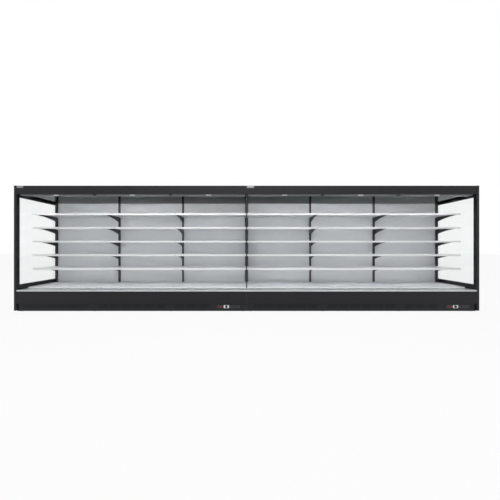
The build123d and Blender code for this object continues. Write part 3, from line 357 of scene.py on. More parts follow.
def colour_mix(tree, factor, first, second):
    """A fixed colour where the factor is nought, and another output's where it is one."""
    # An RGBA mix reads its colours from sockets 6 and 7, and its result is output 2.
    settings, links = {"data_type": "RGBA", 6: first}, {"Factor": factor, 7: second}
    return add_node(tree, "ShaderNodeMix", settings, links).outputs[2]


def vary_colour(tree, shader, factor, colour, low, high, start=0.3, end=0.7):
    """Runs the base colour between two shades of one colour as a factor does."""
    tint = tint_between(tree, factor, shade(colour, low), shade(colour, high), start, end)
    tree.links.new(tint, shader.inputs["Base Color"])


def vary_roughness(tree, shader, factor, low, high):
    """Runs the roughness between two values as a factor runs from 0.25 to 0.75."""
    tree.links.new(grade(tree, factor, 0.25, 0.75, low, high), shader.inputs["Roughness"])


def bump(tree, height, shader, strength, depth_mm):
    """Raises the surface by up to depth_mm where the height is one."""
    settings = {"Strength": strength, "Distance": depth_mm * MM}
    node = add_node(tree, "ShaderNodeBump", settings, {"Height": height})
    tree.links.new(node.outputs[0], shader.inputs["Normal"])


def powder_coat(name, colour, roughness=0.42):
    """Powder-coated steel: satin, with the faint orange peel of a baked coat and light handling marks."""
    # A weak gloss, so that a dark coat stays dark in white surroundings.
    material, tree, shader, place = start_material(name, {"Specular IOR Level": 0.25})
    peel = noise_at(tree, place, 2.2)
    marks = noise_at(tree, place, 180, detail=4.0)
    vary_colour(tree, shader, marks, colour, 0.93, 1.07)
    vary_roughness(tree, shader, marks, roughness - 0.06, roughness + 0.07)
    bump(tree, peel, shader, 0.12, 0.3)
    return material


def tub_coat(name, colour, slot_shade):
    """White powder coat on the tub, with painted shade: its front skin behind the kick plate's slots is
    drawn black, for the shade seen through the slots.
    """
    material = powder_coat(name, colour, 0.36)
    tree = material.node_tree
    shader = next(n for n in tree.nodes if n.bl_idname == "ShaderNodeBsdfPrincipled")
    place = add_node(tree, "ShaderNodeTexCoord").outputs["Object"]
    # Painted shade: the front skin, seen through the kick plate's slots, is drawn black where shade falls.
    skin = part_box("tubs")[0].y
    depth = grade(tree, axis_of(tree, place, "Y"), skin + 1 * MM, skin + 2 * MM)
    coat = shader.inputs["Base Color"].links[0].from_socket
    tree.links.new(colour_mix(tree, depth, shade(slot_shade, 1), coat), shader.inputs["Base Color"])
    return material


def rolled_metal(name, colour, roughness, stretch, grain_mm=1.2, anisotropic=0.3):
    """Bare sheet or drawn metal: fine lines along the way it was rolled or drawn."""
    values = {"Metallic": 1.0, "Anisotropic": anisotropic}
    material, tree, shader, place = start_material(name, values)
    lines = noise_at(tree, place, grain_mm, detail=3.0, stretch=stretch)
    vary_colour(tree, shader, lines, colour, 0.9, 1.06)
    vary_roughness(tree, shader, lines, roughness - 0.07, roughness + 0.07)
    bump(tree, lines, shader, 0.08, 0.05)
    return material


def galvanised_steel(name):
    """Hot-dip galvanised steel: zinc spangles about 9 mm wide, dull and slightly patchy."""
    material, tree, shader, place = start_material(name, {"Metallic": 1.0})
    cells = add_node(tree, "ShaderNodeTexVoronoi", {"Scale": 1 / (9 * MM)}, {"Vector": place})
    split = add_node(tree, "ShaderNodeSeparateColor", links={"Color": cells.outputs["Color"]})
    grey = split.outputs[0]
    zinc = tint_between(tree, grey, rgba("#9a9da0"), rgba("#b9bcbe"), 0.0, 1.0)
    tree.links.new(zinc, shader.inputs["Base Color"])
    vary_roughness(tree, shader, grey, 0.34, 0.5)
    return material


def moulded_plastic(name, colour, roughness, grain_mm=0.9):
    """Moulded plastic or rubber: even colour with the fine texture of the mould."""
    material, tree, shader, place = start_material(name, {"IOR": 1.53})
    grain = noise_at(tree, place, grain_mm)
    cloud = noise_at(tree, place, 60)
    vary_colour(tree, shader, cloud, colour, 0.95, 1.04)
    vary_roughness(tree, shader, grain, roughness - 0.05, roughness + 0.05)
    bump(tree, grain, shader, 0.15, 0.08)
    return material


def float_glass(name):
    """Toughened float glass: clear, with the faint green of its iron and the odd wipe mark."""
    values = {"Base Color": rgba("#fafdfc"), "Transmission Weight": 1.0, "IOR": 1.5}
    material, tree, shader, place = start_material(name, values)
    wipes = noise_at(tree, place, 220, detail=3.0, stretch=(1, 1, 0.4))
    vary_roughness(tree, shader, wipes, 0.0, 0.025)
    return material


def perforated_sheet(name, colour, pitch):
    """White coated steel punched with air holes in a staggered grid, drawn as dark round dots of painted
    shade where the holes would show the dark space behind.
    """
    material, tree, shader, place = start_material(name, {"Roughness": 0.4})
    row_pitch = pitch * math.sqrt(3) / 2
    row = reckon(tree, "DIVIDE", axis_of(tree, place, "Z"), row_pitch)
    stagger = reckon(tree, "MULTIPLY", reckon(tree, "FLOOR", row), 0.5)
    column = reckon(tree, "ADD", reckon(tree, "DIVIDE", axis_of(tree, place, "X"), pitch), stagger)
    across, up = (reckon(tree, "SUBTRACT", reckon(tree, "FRACT", v), 0.5) for v in (column, row))
    spot = add_node(tree, "ShaderNodeCombineXYZ", links={"X": across, "Y": up}).outputs[0]
    radius = add_node(tree, "ShaderNodeVectorMath", {"operation": "LENGTH"}, {0: spot}).outputs["Value"]
    sheet = grade(tree, radius, 0.12, 0.15)
    # Painted shade: each hole is a quarter of the coat's colour, for the dark space behind the sheet.
    vary_colour(tree, shader, sheet, colour, 0.25, 1.0, 0.1, 0.9)
    bump(tree, sheet, shader, 0.5, 1.0)
    return material


def bands(tree, place, direction, pitch_mm):
    """Soft bands square to an axis, one every pitch_mm."""
    # At a scale of one, a wave texture has a band every pi / 10 metres.
    scale = math.pi / 10 / (pitch_mm * MM)
    settings = {"wave_type": "BANDS", "bands_direction": direction, "Scale": scale}
    return add_node(tree, "ShaderNodeTexWave", settings, {"Vector": place}).outputs["Fac"]


def woven_cloth(name, colour):
    """Woven polyester with an aluminised face: threads about 4 mm apart, drawn coarse enough to show."""
    values = {"Roughness": 0.55, "Metallic": 0.35, "Sheen Weight": 0.2}
    material, tree, shader, place = start_material(name, values)
    weft, warp = (bands(tree, place, direction, 3.95) for direction in ("X", "Z"))
    threads = reckon(tree, "MAXIMUM", weft, warp)
    vary_colour(tree, shader, threads, colour, 0.75, 1.08, 0.2, 0.9)
    bump(tree, threads, shader, 0.4, 0.2)
    return material


def led_diffuser(name, strength, boost):
    """Opal polycarbonate lit where it faces the goods, brighter over each LED cluster and at the canopy."""
    values = {"Base Color": rgba("#6f7274"), "Roughness": 0.35, "IOR": 1.58}
    material, tree, shader, place = start_material(name, values)
    clusters = bands(tree, place, "X", 98.7)
    light = tint_between(tree, clusters, rgba("#eef2fb"), rgba("#ffffff"), 0.0, 1.0)
    tree.links.new(light, shader.inputs["Emission Color"])
    facing = add_node(tree, "ShaderNodeNewGeometry").outputs["Normal"]
    # Dark until the surface turns its back on the open front, and lit in full a little further round.
    lit = grade(tree, axis_of(tree, facing, "Y"), 0.6, 0.9, 0.0, strength)
    # The canopy's bars are the only ones in the top 100 mm.
    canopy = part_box("led_bars")[1].z - 100 * MM
    raised = grade(tree, axis_of(tree, place, "Z"), canopy, canopy + 10 * MM, 1.0, boost)
    tree.links.new(reckon(tree, "MULTIPLY", lit, raised), shader.inputs["Emission Strength"])
    return material


def mirror_steel(name, colour, roughness):
    """Bright-annealed steel sheet: mirror-like, with a slow waviness that bends reflections."""
    # The grey edge tint holds back what the sheet mirrors when it is seen at a slant.
    values = {"Metallic": 1.0, "Specular Tint": (0.4, 0.4, 0.4, 1.0)}
    material, tree, shader, place = start_material(name, values)
    wave = noise_at(tree, place, 260, detail=1.0)
    vary_colour(tree, shader, wave, colour, 0.95, 1.03)
    vary_roughness(tree, shader, wave, roughness * 0.7, roughness * 1.3)
    bump(tree, wave, shader, 0.06, 1.5)
    return material


def copper_tube(name):
    """Drawn copper tube: bright where handled and browner where it has dulled."""
    material, tree, shader, place = start_material(name, {"Metallic": 1.0})
    dull = noise_at(tree, place, 45, detail=5.0)
    copper = tint_between(tree, dull, rgba("#8c5a40"), rgba("#c98a68"))
    tree.links.new(copper, shader.inputs["Base Color"])
    vary_roughness(tree, shader, dull, 0.28, 0.5)
    return material


def coated_panel(name, colour, joint_pitch):
    """Prepainted sheet over foam: even satin coat with a dark joint line at each bay."""
    material, tree, shader, place = start_material(name)
    off_joint = reckon(tree, "PINGPONG", axis_of(tree, place, "X"), joint_pitch / 2)
    sheet = grade(tree, off_joint, 1 * MM, 2.5 * MM)
    cloud = noise_at(tree, place, 300, detail=3.0)
    coat = tint_between(tree, cloud, shade(colour, 0.96), shade(colour, 1.03))
    tree.links.new(colour_mix(tree, sheet, shade(colour, 0.3), coat), shader.inputs["Base Color"])
    vary_roughness(tree, shader, cloud, 0.38, 0.5)
    bump(tree, sheet, shader, 0.6, 1.0)
    return material


def enamel(name, colour):
    """Fired or moulded gloss finish: deep colour with barely visible flow marks."""
    material, tree, shader, place = start_material(name, {"IOR": 1.5})
    flow = noise_at(tree, place, 40)
    vary_colour(tree, shader, flow, colour, 0.92, 1.06)
    vary_roughness(tree, shader, flow, 0.08, 0.14)
    return material


def card(name, colour):
    """Blank coated card: matt, with a faint fibre mottle."""
    material, tree, shader, place = start_material(name, {"Roughness": 0.65})
    fibre = noise_at(tree, place, 1.5, detail=4.0)
    vary_colour(tree, shader, fibre, colour, 0.95, 1.02)
    bump(tree, fibre, shader, 0.1, 0.05)
    return material


def bumper_profile(name, colour):
    """Satin anodised aluminium bumper: pale grey, drawn lines along its length and light scuffs."""
    material, tree, shader, place = start_material(name, {"Metallic": 0.35})
    lines = noise_at(tree, place, 1.5, detail=3.0, stretch=(0.02, 1, 1))
    scuffs = noise_at(tree, place, 35, detail=6.0, stretch=(0.3, 1, 1))
    vary_colour(tree, shader, scuffs, colour, 0.92, 1.04)
    vary_roughness(tree, shader, scuffs, 0.3, 0.42)
    bump(tree, lines, shader, 0.08, 0.05)
    return material


def seen_directly(tree):
    """One for rays from the camera, off gloss or through glass, and nought for the rays that light."""
    path = add_node(tree, "ShaderNodeLightPath").outputs
    seen = path["Is Camera Ray"]
    for kind in ("Is Glossy Ray", "Is Transmission Ray"):
        seen = reckon(tree, "MAXIMUM", seen, path[kind])
    return seen


def plain_light(tree, kind, strength):
    """A white emission or background of one strength."""
    return add_node(tree, kind, {"Color": (1, 1, 1, 1), "Strength": strength}).outputs[0]


def pale_floor(name, glow_share):
    """Pale matt floor: seen directly or mirrored it is near white, and it keeps the fridge's shadow."""
    values = {"Roughness": 0.9, "Specular IOR Level": 0.2}
    material, tree, shader, place = start_material(name, values)
    cloud = noise_at(tree, place, 900)
    pale = tint_between(tree, cloud, rgba("#f1f1f1"), rgba("#f4f4f4"))
    tree.links.new(pale, shader.inputs["Base Color"])
    glow = plain_light(tree, "ShaderNodeEmission", 1.0)
    share = reckon(tree, "MULTIPLY", seen_directly(tree), glow_share)
    mix = add_node(tree, "ShaderNodeMixShader", links={0: share, 1: shader.outputs[0], 2: glow})
    surface = next(n for n in tree.nodes if n.bl_idname == "ShaderNodeOutputMaterial")
    tree.links.new(mix.outputs[0], surface.inputs["Surface"])
    return material


def bay_starts():
    """Left end of every bay, and a bay's length."""
    case_length = bpy.context.scene.fridge_sizes.case_length
    bay = case_length * CASES / BAYS
    return [bay * k - case_length * CASES / 2 for k in range(BAYS)], bay


def finishes():
    """Every finish of the fridge: the function that makes it, and what it is given after the name."""
    colours = bpy.context.scene.fridge_finishes
    stage = bpy.context.scene.fridge_stage
    perforation = bpy.context.scene.fridge_sizes.perforation
    bay = bay_starts()[1]
    black = linear("#0b0c0d")
    return {
        "powder_coat_graphite": (powder_coat, colours.fascia),
        "powder_coat_kick": (powder_coat, colours.kick),
        "powder_coat_end_wall": (powder_coat, colours.end_wall, 0.38),
        "powder_coat_white": (powder_coat, colours.interior, 0.36),
        "powder_coat_bracket": (powder_coat, colours.bracket, 0.4),
        "powder_coat_motor": (powder_coat, linear("#26282a"), 0.5),
        "powder_coat_black": (powder_coat, black, 0.5),
        # The tub's black is painted shade on its skin behind the kick plate's slots.
        "tub_coat": (tub_coat, colours.interior, black),
        "perforated_white_steel": (perforated_sheet, colours.interior, perforation),
        "coated_back_skin": (coated_panel, linear("#d4d6d7"), bay),
        "coated_roof_skin": (coated_panel, linear("#c3c6c8"), bay),
        "galvanised_steel": (galvanised_steel,),
        "zinc_plated_steel": (rolled_metal, linear("#b4b6b4"), 0.32, (1, 1, 1), 2.0, 0.0),
        "anodised_bumper": (bumper_profile, colours.bumper),
        "anodised_aluminium": (rolled_metal, linear("#8f9193"), 0.34, (0.02, 1, 1)),
        "mill_aluminium": (rolled_metal, linear("#c4c6c8"), 0.3, (0.02, 1, 1)),
        "fin_aluminium": (rolled_metal, linear("#c0c3c5"), 0.4, (1, 1, 0.1)),
        "stainless_grille": (rolled_metal, linear("#f2f3f3"), 0.4, (0.03, 1, 1)),
        "bright_annealed_steel": (mirror_steel, linear("#535756"), 0.06),
        "copper_tube": (copper_tube,),
        "toughened_glass": (float_glass,),
        "black_enamel": (enamel, linear("#141617")),
        "grey_pvc": (moulded_plastic, linear("#76797b"), 0.45),
        "clear_pvc_rail": (moulded_plastic, linear("#eceeef"), 0.25),
        "card_strip": (card, linear("#fafafa")),
        "black_abs": (moulded_plastic, linear("#1b1c1e"), 0.38),
        "white_abs": (moulded_plastic, colours.handle, 0.32),
        "red_polycarbonate": (moulded_plastic, linear("#7c1418"), 0.22),
        "smoked_acrylic": (enamel, linear("#101316")),
        "grey_abs_box": (moulded_plastic, linear("#a9acae"), 0.5),
        "black_polypropylene": (moulded_plastic, linear("#232527"), 0.5),
        "honeycomb_polypropylene": (moulded_plastic, linear("#5b5e5c"), 0.55),
        "epdm_rubber": (moulded_plastic, linear("#17181a"), 0.7, 1.4),
        "white_print": (enamel, linear("#e6e7e7")),
        "woven_blind_cloth": (woven_cloth, colours.blind),
        "opal_led_diffuser": (led_diffuser, stage.led_strength, stage.canopy_boost),
        "pale_floor": (pale_floor, stage.floor_glow),
    }


def finish(name):
    """The finish of that name, made the first time it is asked for."""
    if name not in bpy.data.materials:
        maker, *values = finishes()[name]
        maker(name, *values)
    return bpy.data.materials[name]


NODE_FINISHES = {
    "end_frames": "powder_coat_end_wall",
    "end_glass": "toughened_glass",
    "base_frame": "powder_coat_black",
    "levelling_feet": "zinc_plated_steel",
    "tubs": "tub_coat",
    "drain_outlets": "grey_pvc",
    "back_walls": "coated_back_skin",
    "roofs": "coated_roof_skin",
    "front_risers": "powder_coat_graphite",
    "bumpers": "anodised_bumper",
    "kick_plates": "powder_coat_kick",
    "control_panels": "black_abs",
    "rocker_switch": "red_polycarbonate",
    "dial_knob": "black_abs",
    "deck_supports": "galvanised_steel",
    "deck_trays": "powder_coat_white",
    "return_grilles": "stainless_grille",
    "fan_plates": "galvanised_steel",
    "fan_motors": "powder_coat_motor",
    "fan": "black_polypropylene",
    "evaporators": "fin_aluminium",
    "refrigerant_pipes": "copper_tube",
    "back_panels": "perforated_white_steel",
    "slotted_uprights": "powder_coat_bracket",
    "shelves": "powder_coat_white",
    "shelf_brackets": "powder_coat_bracket",
    "price_rails": "clear_pvc_rail",
    "led_bars": "opal_led_diffuser",
    "fascias": "powder_coat_graphite",
    "blind_housings": "powder_coat_graphite",
    "blind_roller": "mill_aluminium",
    "blind_cloth": "woven_blind_cloth",
    "blind_bar": "anodised_aluminium",
    "honeycombs": "honeycomb_polypropylene",
    "ceiling_panels": "bright_annealed_steel",
    "centre_divider": "toughened_glass",
    "divider_trim": "powder_coat_bracket",
    "terminal_boxes": "grey_abs_box",
}


class FRIDGE_OT_solids(bpy.types.Operator):
    """Gives every solid of the frame its finish"""

    bl_idname = "fridge.solids"
    bl_label = "Finish the solids"

    def execute(self, context):
        for name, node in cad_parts.items():
            kind = name.rstrip("0123456789").rstrip("_")
            node.data.materials.clear()
            node.data.materials.append(finish(NODE_FINISHES[kind]))
        return {"FINISHED"}


class FRIDGE_OT_honeycombs(bpy.types.Operator):
    """Builds the air outlet's honeycomb, cell by cell, in a thin frame for each bay"""

    bl_idname = "fridge.honeycombs"
    bl_label = "Air outlet honeycomb"

    def execute(self, context):
        sizes = context.scene.fridge_sizes
        low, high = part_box("honeycombs")
        starts, bay = bay_starts()
        edge = low.x - starts[0]
        frame_wall = 1.5 * MM
        length = bay - 2 * edge
        bm = bmesh.new()
        ring(bm, low, (low.x + length, high.y, high.z), frame_wall, "Z")
        plastic, slot = "honeycomb_polypropylene", "honeycomb_plastic"
        casing = new_piece("honeycomb_frames", bm, plastic)
        repeat(casing, "bays", BAYS, (bay, 0, 0))

        width = sizes.cell
        corner_radius = width / math.sqrt(3)
        row_step = width * math.sqrt(3) / 2
        columns = int((length - 2 * frame_wall - width / 2) // width)
        spare = (length - (columns + 0.5) * width) / 2
        rows = 4
        depth = (rows - 1) * row_step + 2 * corner_radius
        first_y = (low.y + high.y - depth) / 2 + corner_radius
        bm = bmesh.new()
        for row in range(2):
            x = low.x + spare + width / 2 + row * width / 2
            centre = Matrix.Translation((x, first_y + row * row_step, low.z))
            made = bmesh.ops.create_circle(
                bm, cap_ends=True, segments=6, radius=corner_radius, matrix=centre
            )["verts"]
            rim = open_face(bm, made[0].link_faces[0], sizes.cell_wall / 2)
            lift(bm, rim, (0, 0, high.z - low.z))
        bmesh.ops.recalc_face_normals(bm, faces=bm.faces[:])
        cells = new_piece("honeycomb_cells", bm, plastic, replaces=("honeycombs",))
        repeat(cells, "columns", columns, (width, 0, 0))
        repeat(cells, "rows", rows // 2, (0, 2 * row_step, 0))
        repeat(cells, "bays", BAYS, (bay, 0, 0))
        return {"FINISHED"}


class FRIDGE_OT_blinds(bpy.types.Operator):
    """Builds each night blind: roller, rolled cloth, pull bar, end caps and handle"""

    bl_idname = "fridge.blinds"
    bl_label = "Night blinds"

    def execute(self, context):
        for number in range(1, BAYS + 1):
            self.roller(number)
            self.cloth(number, context.scene.fridge_sizes)
            self.bar(number)
        return {"FINISHED"}

    def roller(self, number):
        """Adds the roller's tube, with a groove round it where each end plug stops."""
        low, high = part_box(f"blind_roller_{number}")
        centre = (low + high) / 2
        half = (high.x - low.x) / 2
        tube, bore, plug, groove = 15 * MM, 5.05 * MM, 20 * MM, 0.5 * MM
        bevel_in, bevel_along = 2 * MM, 1.5 * MM
        end = [
            (half, bore),
            (half, tube - bevel_in),
            (half - bevel_along, tube),
            (half - plug + groove, tube),
            (half - plug, tube - groove),
            (half - plug - groove, tube),
        ]
        profile = [(-along, r) for along, r in end] + end[::-1]
        bm = bmesh.new()
        sides = 32
        lathe(bm, profile, centre, (1, 0, 0), sides, closed=True)
        name, body, node = f"roller_tube_{number}", f"roller_{number}", f"blind_roller_{number}"
        smooth_by_angle(new_piece(name, bm, "mill_aluminium", body, (node,)))

    def cloth(self, number, sizes):
        """Adds the cloth as one sheet: wound on the roller, then hanging to the pull bar."""
        low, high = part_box(f"blind_cloth_{number}")
        roll_low, roll_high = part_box(f"blind_roller_{number}")
        axis = (roll_low + roll_high) / 2
        front = (low.y + high.y) / 2
        free = high.z - low.z
        outer = axis.y - front
        gap = sizes.cloth_thickness
        wound = sizes.cloth_length - free
        inner = math.sqrt(outer**2 - wound * gap / math.pi)
        turns = (outer - inner) / gap
        steps_per_turn, drop_steps = 24, 40
        steps = int(turns * steps_per_turn)
        bm = bmesh.new()
        line = []
        for step in range(steps):
            angle = -2 * math.pi * turns * (1 - step / steps)
            r = outer + gap * angle / (2 * math.pi)
            spot = (low.x, axis.y - r * math.cos(angle), axis.z - r * math.sin(angle))
            line.append(bm.verts.new(spot))
        for step in range(drop_steps + 1):
            line.append(bm.verts.new((low.x, front, high.z - free * step / drop_steps)))
        edges = [bm.edges.new(pair) for pair in zip(line[:-1], line[1:])]
        wide = bmesh.ops.extrude_edge_only(bm, edges=edges)["geom"]
        move(bm, points_in(wide), (high.x - low.x, 0, 0))
        bmesh.ops.recalc_face_normals(bm, faces=bm.faces[:])
        name, node = f"blind_sheet_{number}", f"blind_cloth_{number}"
        piece = new_piece(name, bm, "woven_blind_cloth", None, (node,))
        for face in piece.data.polygons:
            face.use_smooth = True
        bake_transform(piece)

    def bar(self, number):
        """Adds the pull bar, its two end caps and the handle in front of its middle."""
        low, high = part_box(f"blind_bar_{number}")
        cloth_low, cloth_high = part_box(f"blind_cloth_{number}")
        front = (cloth_low.y + cloth_high.y) / 2
        top = high.z
        depth, height, cap = 16 * MM, 12 * MM, 4 * MM
        body = f"blind_{number}"
        rear = front + depth / 2
        face = front - depth / 2
        bm = bmesh.new()
        plate(bm, (low.x + cap, face, top - height), (high.x - cap, rear, top), 2 * MM, axis="X")
        name, slot, node = f"pull_bar_{number}", "grey_aluminium", f"blind_bar_{number}"
        smooth_by_angle(new_piece(name, bm, "anodised_aluminium", body, (node,)))
        bm = bmesh.new()
        for start in (low.x, high.x - cap):
            plate(bm, (start, face, top - height), (start + cap, rear, top), 2.4 * MM, axis="X")
        smooth_by_angle(new_piece(f"bar_caps_{number}", bm, "black_abs", body))
        middle = (low.x + high.x) / 2
        half, drop = 42 * MM, 18 * MM
        grip_top = top - 2 * MM
        bm = bmesh.new()
        lowest, highest = (middle - half, low.y, grip_top - drop), (middle + half, face, grip_top)
        plate(bm, lowest, highest, 6 * MM, 5)
        rims = [e for e in bm.edges if all(abs(v.co.y - low.y) < 1e-6 for v in e.verts)]
        bmesh.ops.bevel(
            bm, geom=rims, offset=2.5 * MM, segments=3, profile=0.5, affect="EDGES", material=-1
        )
        smooth_by_angle(new_piece(f"blind_handle_{number}", bm, "white_abs", body))


class FRIDGE_OT_end_walls(bpy.types.Operator):
    """Adds the black enamel borders, rubber glazing beads and screw caps of the end walls"""

    bl_idname = "fridge.end_walls"
    bl_label = "End wall trim"

    def execute(self, context):
        width = context.scene.fridge_sizes.glass_border
        low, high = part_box("end_glass")
        frame_low, frame_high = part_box("end_frames")
        thickness = 24 * MM
        skin, bead = 0.4 * MM, 5 * MM
        border = bmesh.new()
        beads = bmesh.new()
        for side in (-1, 1):
            outer_face = high.x
            inner_face = high.x - thickness
            for near, far in ((inner_face - skin, inner_face), (outer_face, outer_face + skin)):
                first, last = sorted((side * near, side * far))
                ring(border, (first, low.y, low.z), (last, high.y, high.z), width, "X")
            for near, far in (
                (inner_face - skin - bead * 0.8, inner_face - skin),
                (outer_face + skin, outer_face + skin + bead),
            ):
                first, last = sorted((side * near, side * far))
                ring(beads, (first, low.y, low.z), (last, high.y, high.z), bead, "X")
        new_piece("enamel_borders", border, "black_enamel")
        new_piece("glazing_beads", beads, "epdm_rubber")
        caps = bmesh.new()
        rise, radius = 1.0 * MM, 6 * MM
        dome = [(-0.6 * rise, radius), (0.2 * rise, radius), (0.8 * rise, 0.75 * radius), (rise, POINT)]
        first, step = 100 * MM, 270 * MM
        heights = (70 * MM, 360 * MM, frame_high.z - 105 * MM)
        for side in (-1, 1):
            for column in range(4):
                for z in heights:
                    place = (side * (frame_high.x - rise), frame_low.y + first + column * step, z)
                    lathe(caps, dome, place, (side, 0, 0), SCREW_SIDES)
        smooth_by_angle(new_piece("end_screw_caps", caps, "black_abs"))
        return {"FINISHED"}


class FRIDGE_OT_shelf_details(bpy.types.Operator):
    """Adds the blank card strips in the price rails"""

    bl_idname = "fridge.shelf_details"
    bl_label = "Shelf details"

    def execute(self, context):
        sizes = context.scene.fridge_sizes
        low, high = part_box("price_rails")
        starts, bay = bay_starts()
        length = bay - 2 * (low.x - starts[0])
        side_gap, thickness = 2 * MM, 0.8 * MM
        back = high.y - 1.6 * MM
        middle = low.z + 15 * MM  # of the lowest rail, which is 30 mm high
        half = sizes.label_height / 2
        bm = bmesh.new()
        corner = (low.x + side_gap, back - thickness, middle - half)
        plate(bm, corner, (low.x + length - side_gap, back, middle + half))
        strips = new_piece("price_strips", bm, "card_strip")
        repeat(strips, "bays", BAYS, (bay, 0, 0))
        repeat(strips, "levels", LEVELS, (0, 0, sizes.shelf_pitch))
        return {"FINISHED"}


class FRIDGE_OT_front_details(bpy.types.Operator):
    """Adds the fascia's blank plates, the kick plates' screws and the seals between the cases"""

    bl_idname = "fridge.front_details"
    bl_label = "Front details"

    def execute(self, context):
        sizes = context.scene.fridge_sizes
        low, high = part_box("fascias")
        bm = bmesh.new()
        top = high.z - 2 * MM
        thickness = 1.2 * MM
        for start, length in ((low.x + 5 * MM, 105 * MM), (6 * MM, 114 * MM)):
            corner = (start, low.y - thickness, top - sizes.badge_height)
            plate(bm, corner, (start + length, low.y, top), 3 * MM)
        new_piece("blank_plates", bm, "anodised_aluminium")
        kick_low, kick_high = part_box("kick_plates")
        screws = bmesh.new()
        dome = [(0.0, 4.5 * MM), (0.6 * MM, 4.2 * MM), (1.4 * MM, 2.6 * MM), (1.6 * MM, POINT)]
        screw_z, shares = kick_high.z - 9 * MM, (0.015, 0.33, 0.665, 0.985)
        for start in (-sizes.case_length, 0.0):
            for share in shares:
                x = start + sizes.case_length * share
                lathe(screws, dome, (x, kick_low.y, screw_z), (0, -1, 0), SCREW_SIDES)
        smooth_by_angle(new_piece("kick_screws", screws, "powder_coat_kick"))
        self.joint_seals()
        return {"FINISHED"}

    def joint_seals(self):
        """Adds the dark rubber seals that cover the seam between the two cases."""
        half, proud = 4 * MM, 0.8 * MM
        bm = bmesh.new()
        for node in ("fascias", "front_risers", "kick_plates"):
            low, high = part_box(node)
            plate(bm, (-half, low.y - proud, low.z + proud), (half, low.y, high.z - proud))
        new_piece("joint_seals", bm, "epdm_rubber")


class FRIDGE_OT_controls(bpy.types.Operator):
    """Adds each control panel's display window, soft keys and the dial's marks and plain numbers"""

    bl_idname = "fridge.controls"
    bl_label = "Controls"

    def execute(self, context):
        windows, keys, marks, scales = (bmesh.new() for _ in range(4))
        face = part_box("control_panels")[0].y
        window_place, key_place, key_step = 125 * MM, 177 * MM, 13 * MM
        for number in range(1, CASES + 1):
            knob_low, knob_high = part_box(f"dial_knob_{number}")
            knob = (knob_low + knob_high) / 2
            self.raised(windows, knob.x + window_place, face, knob.z, 42 * MM, 12 * MM, 0.5 * MM)
            for step in range(3):
                x = knob.x + key_place + key_step * step
                self.raised(keys, x, face, knob.z, 4.5 * MM, 4.5 * MM, 0.8 * MM)
            # The knob is 13 mm deep and stands 0.2 mm off the dial's face.
            dial_face = knob_low.y + 13.2 * MM
            self.dial_plate(scales, Vector((knob.x, dial_face + 0.8 * MM, knob.z)))
            self.marks(marks, knob, dial_face)
        new_piece("display_windows", windows, "smoked_acrylic")
        new_piece("soft_keys", keys, "black_polypropylene")
        new_piece("dial_marks", marks, "white_print")
        new_piece("dial_plates", scales, "white_abs")
        return {"FINISHED"}

    def raised(self, bm, x, face, z, half_width, half_height, rise):
        """Adds a plate that stands out from the panel's face round a place."""
        low = (x - half_width, face - rise, z - half_height)
        plate(bm, low, (x + half_width, face, z + half_height), 2 * MM)

    def marks(self, bm, knob, face):
        """Adds eleven strokes round a dial, and a number from 0 to 5 at every other one."""
        stroke_step = math.radians(27)
        inner, outer, half_width, rise = 16.2 * MM, 18.0 * MM, 0.35 * MM, 0.2 * MM
        number_radius = 20.4 * MM
        for step in range(11):
            corner = (knob.x - half_width, face - rise, knob.z + inner)
            made = plate(bm, corner, (knob.x + half_width, face, knob.z + outer))
            turn = Matrix.Rotation(stroke_step * step, 3, "Y")
            bmesh.ops.rotate(bm, cent=knob, matrix=turn, verts=made)
        for step in range(6):
            turn = 2 * stroke_step * step
            across, up = number_radius * math.sin(turn), number_radius * math.cos(turn)
            self.number(bm, str(step), (knob.x + across, face, knob.z + up))

    def dial_plate(self, bm, centre):
        """Adds a white disc round a dial, cut off flat above and below."""
        hole, outside, half_height, thickness = 23.4 * MM, 44 * MM, 25 * MM, 0.5 * MM
        sides = 64
        upright = Matrix.Translation(centre) @ Matrix.Rotation(math.pi / 2, 4, "X")
        loops = []
        for radius in (hole, outside):
            made = bmesh.ops.create_circle(bm, segments=sides, radius=radius, matrix=upright)["verts"]
            for vert in made:
                vert.co.z = min(max(vert.co.z, centre.z - half_height), centre.z + half_height)
            loops += list({edge for vert in made for edge in vert.link_edges})
        lift(bm, bmesh.ops.bridge_loops(bm, edges=loops)["faces"], (0, -thickness, 0))
        bmesh.ops.recalc_face_normals(bm, faces=bm.faces[:])

    def number(self, bm, text, spot):
        """Adds one raised numeral that faces the front at a spot."""
        curve = bpy.data.curves.new("numeral", "FONT")
        curve.body = text
        curve.size = 4.2 * MM
        curve.extrude = 0.1 * MM
        curve.align_x = "CENTER"
        curve.align_y = "CENTER"
        writer = bpy.data.objects.new("numeral", curve)
        bpy.context.scene.collection.objects.link(writer)
        mesh = bpy.data.meshes.new_from_object(writer)
        mesh.transform(Matrix.Translation(spot) @ Matrix.Rotation(math.pi / 2, 4, "X"))
        bm.from_mesh(mesh)
        bpy.data.objects.remove(writer)
        bpy.data.meshes.remove(mesh)
        bpy.data.curves.remove(curve)


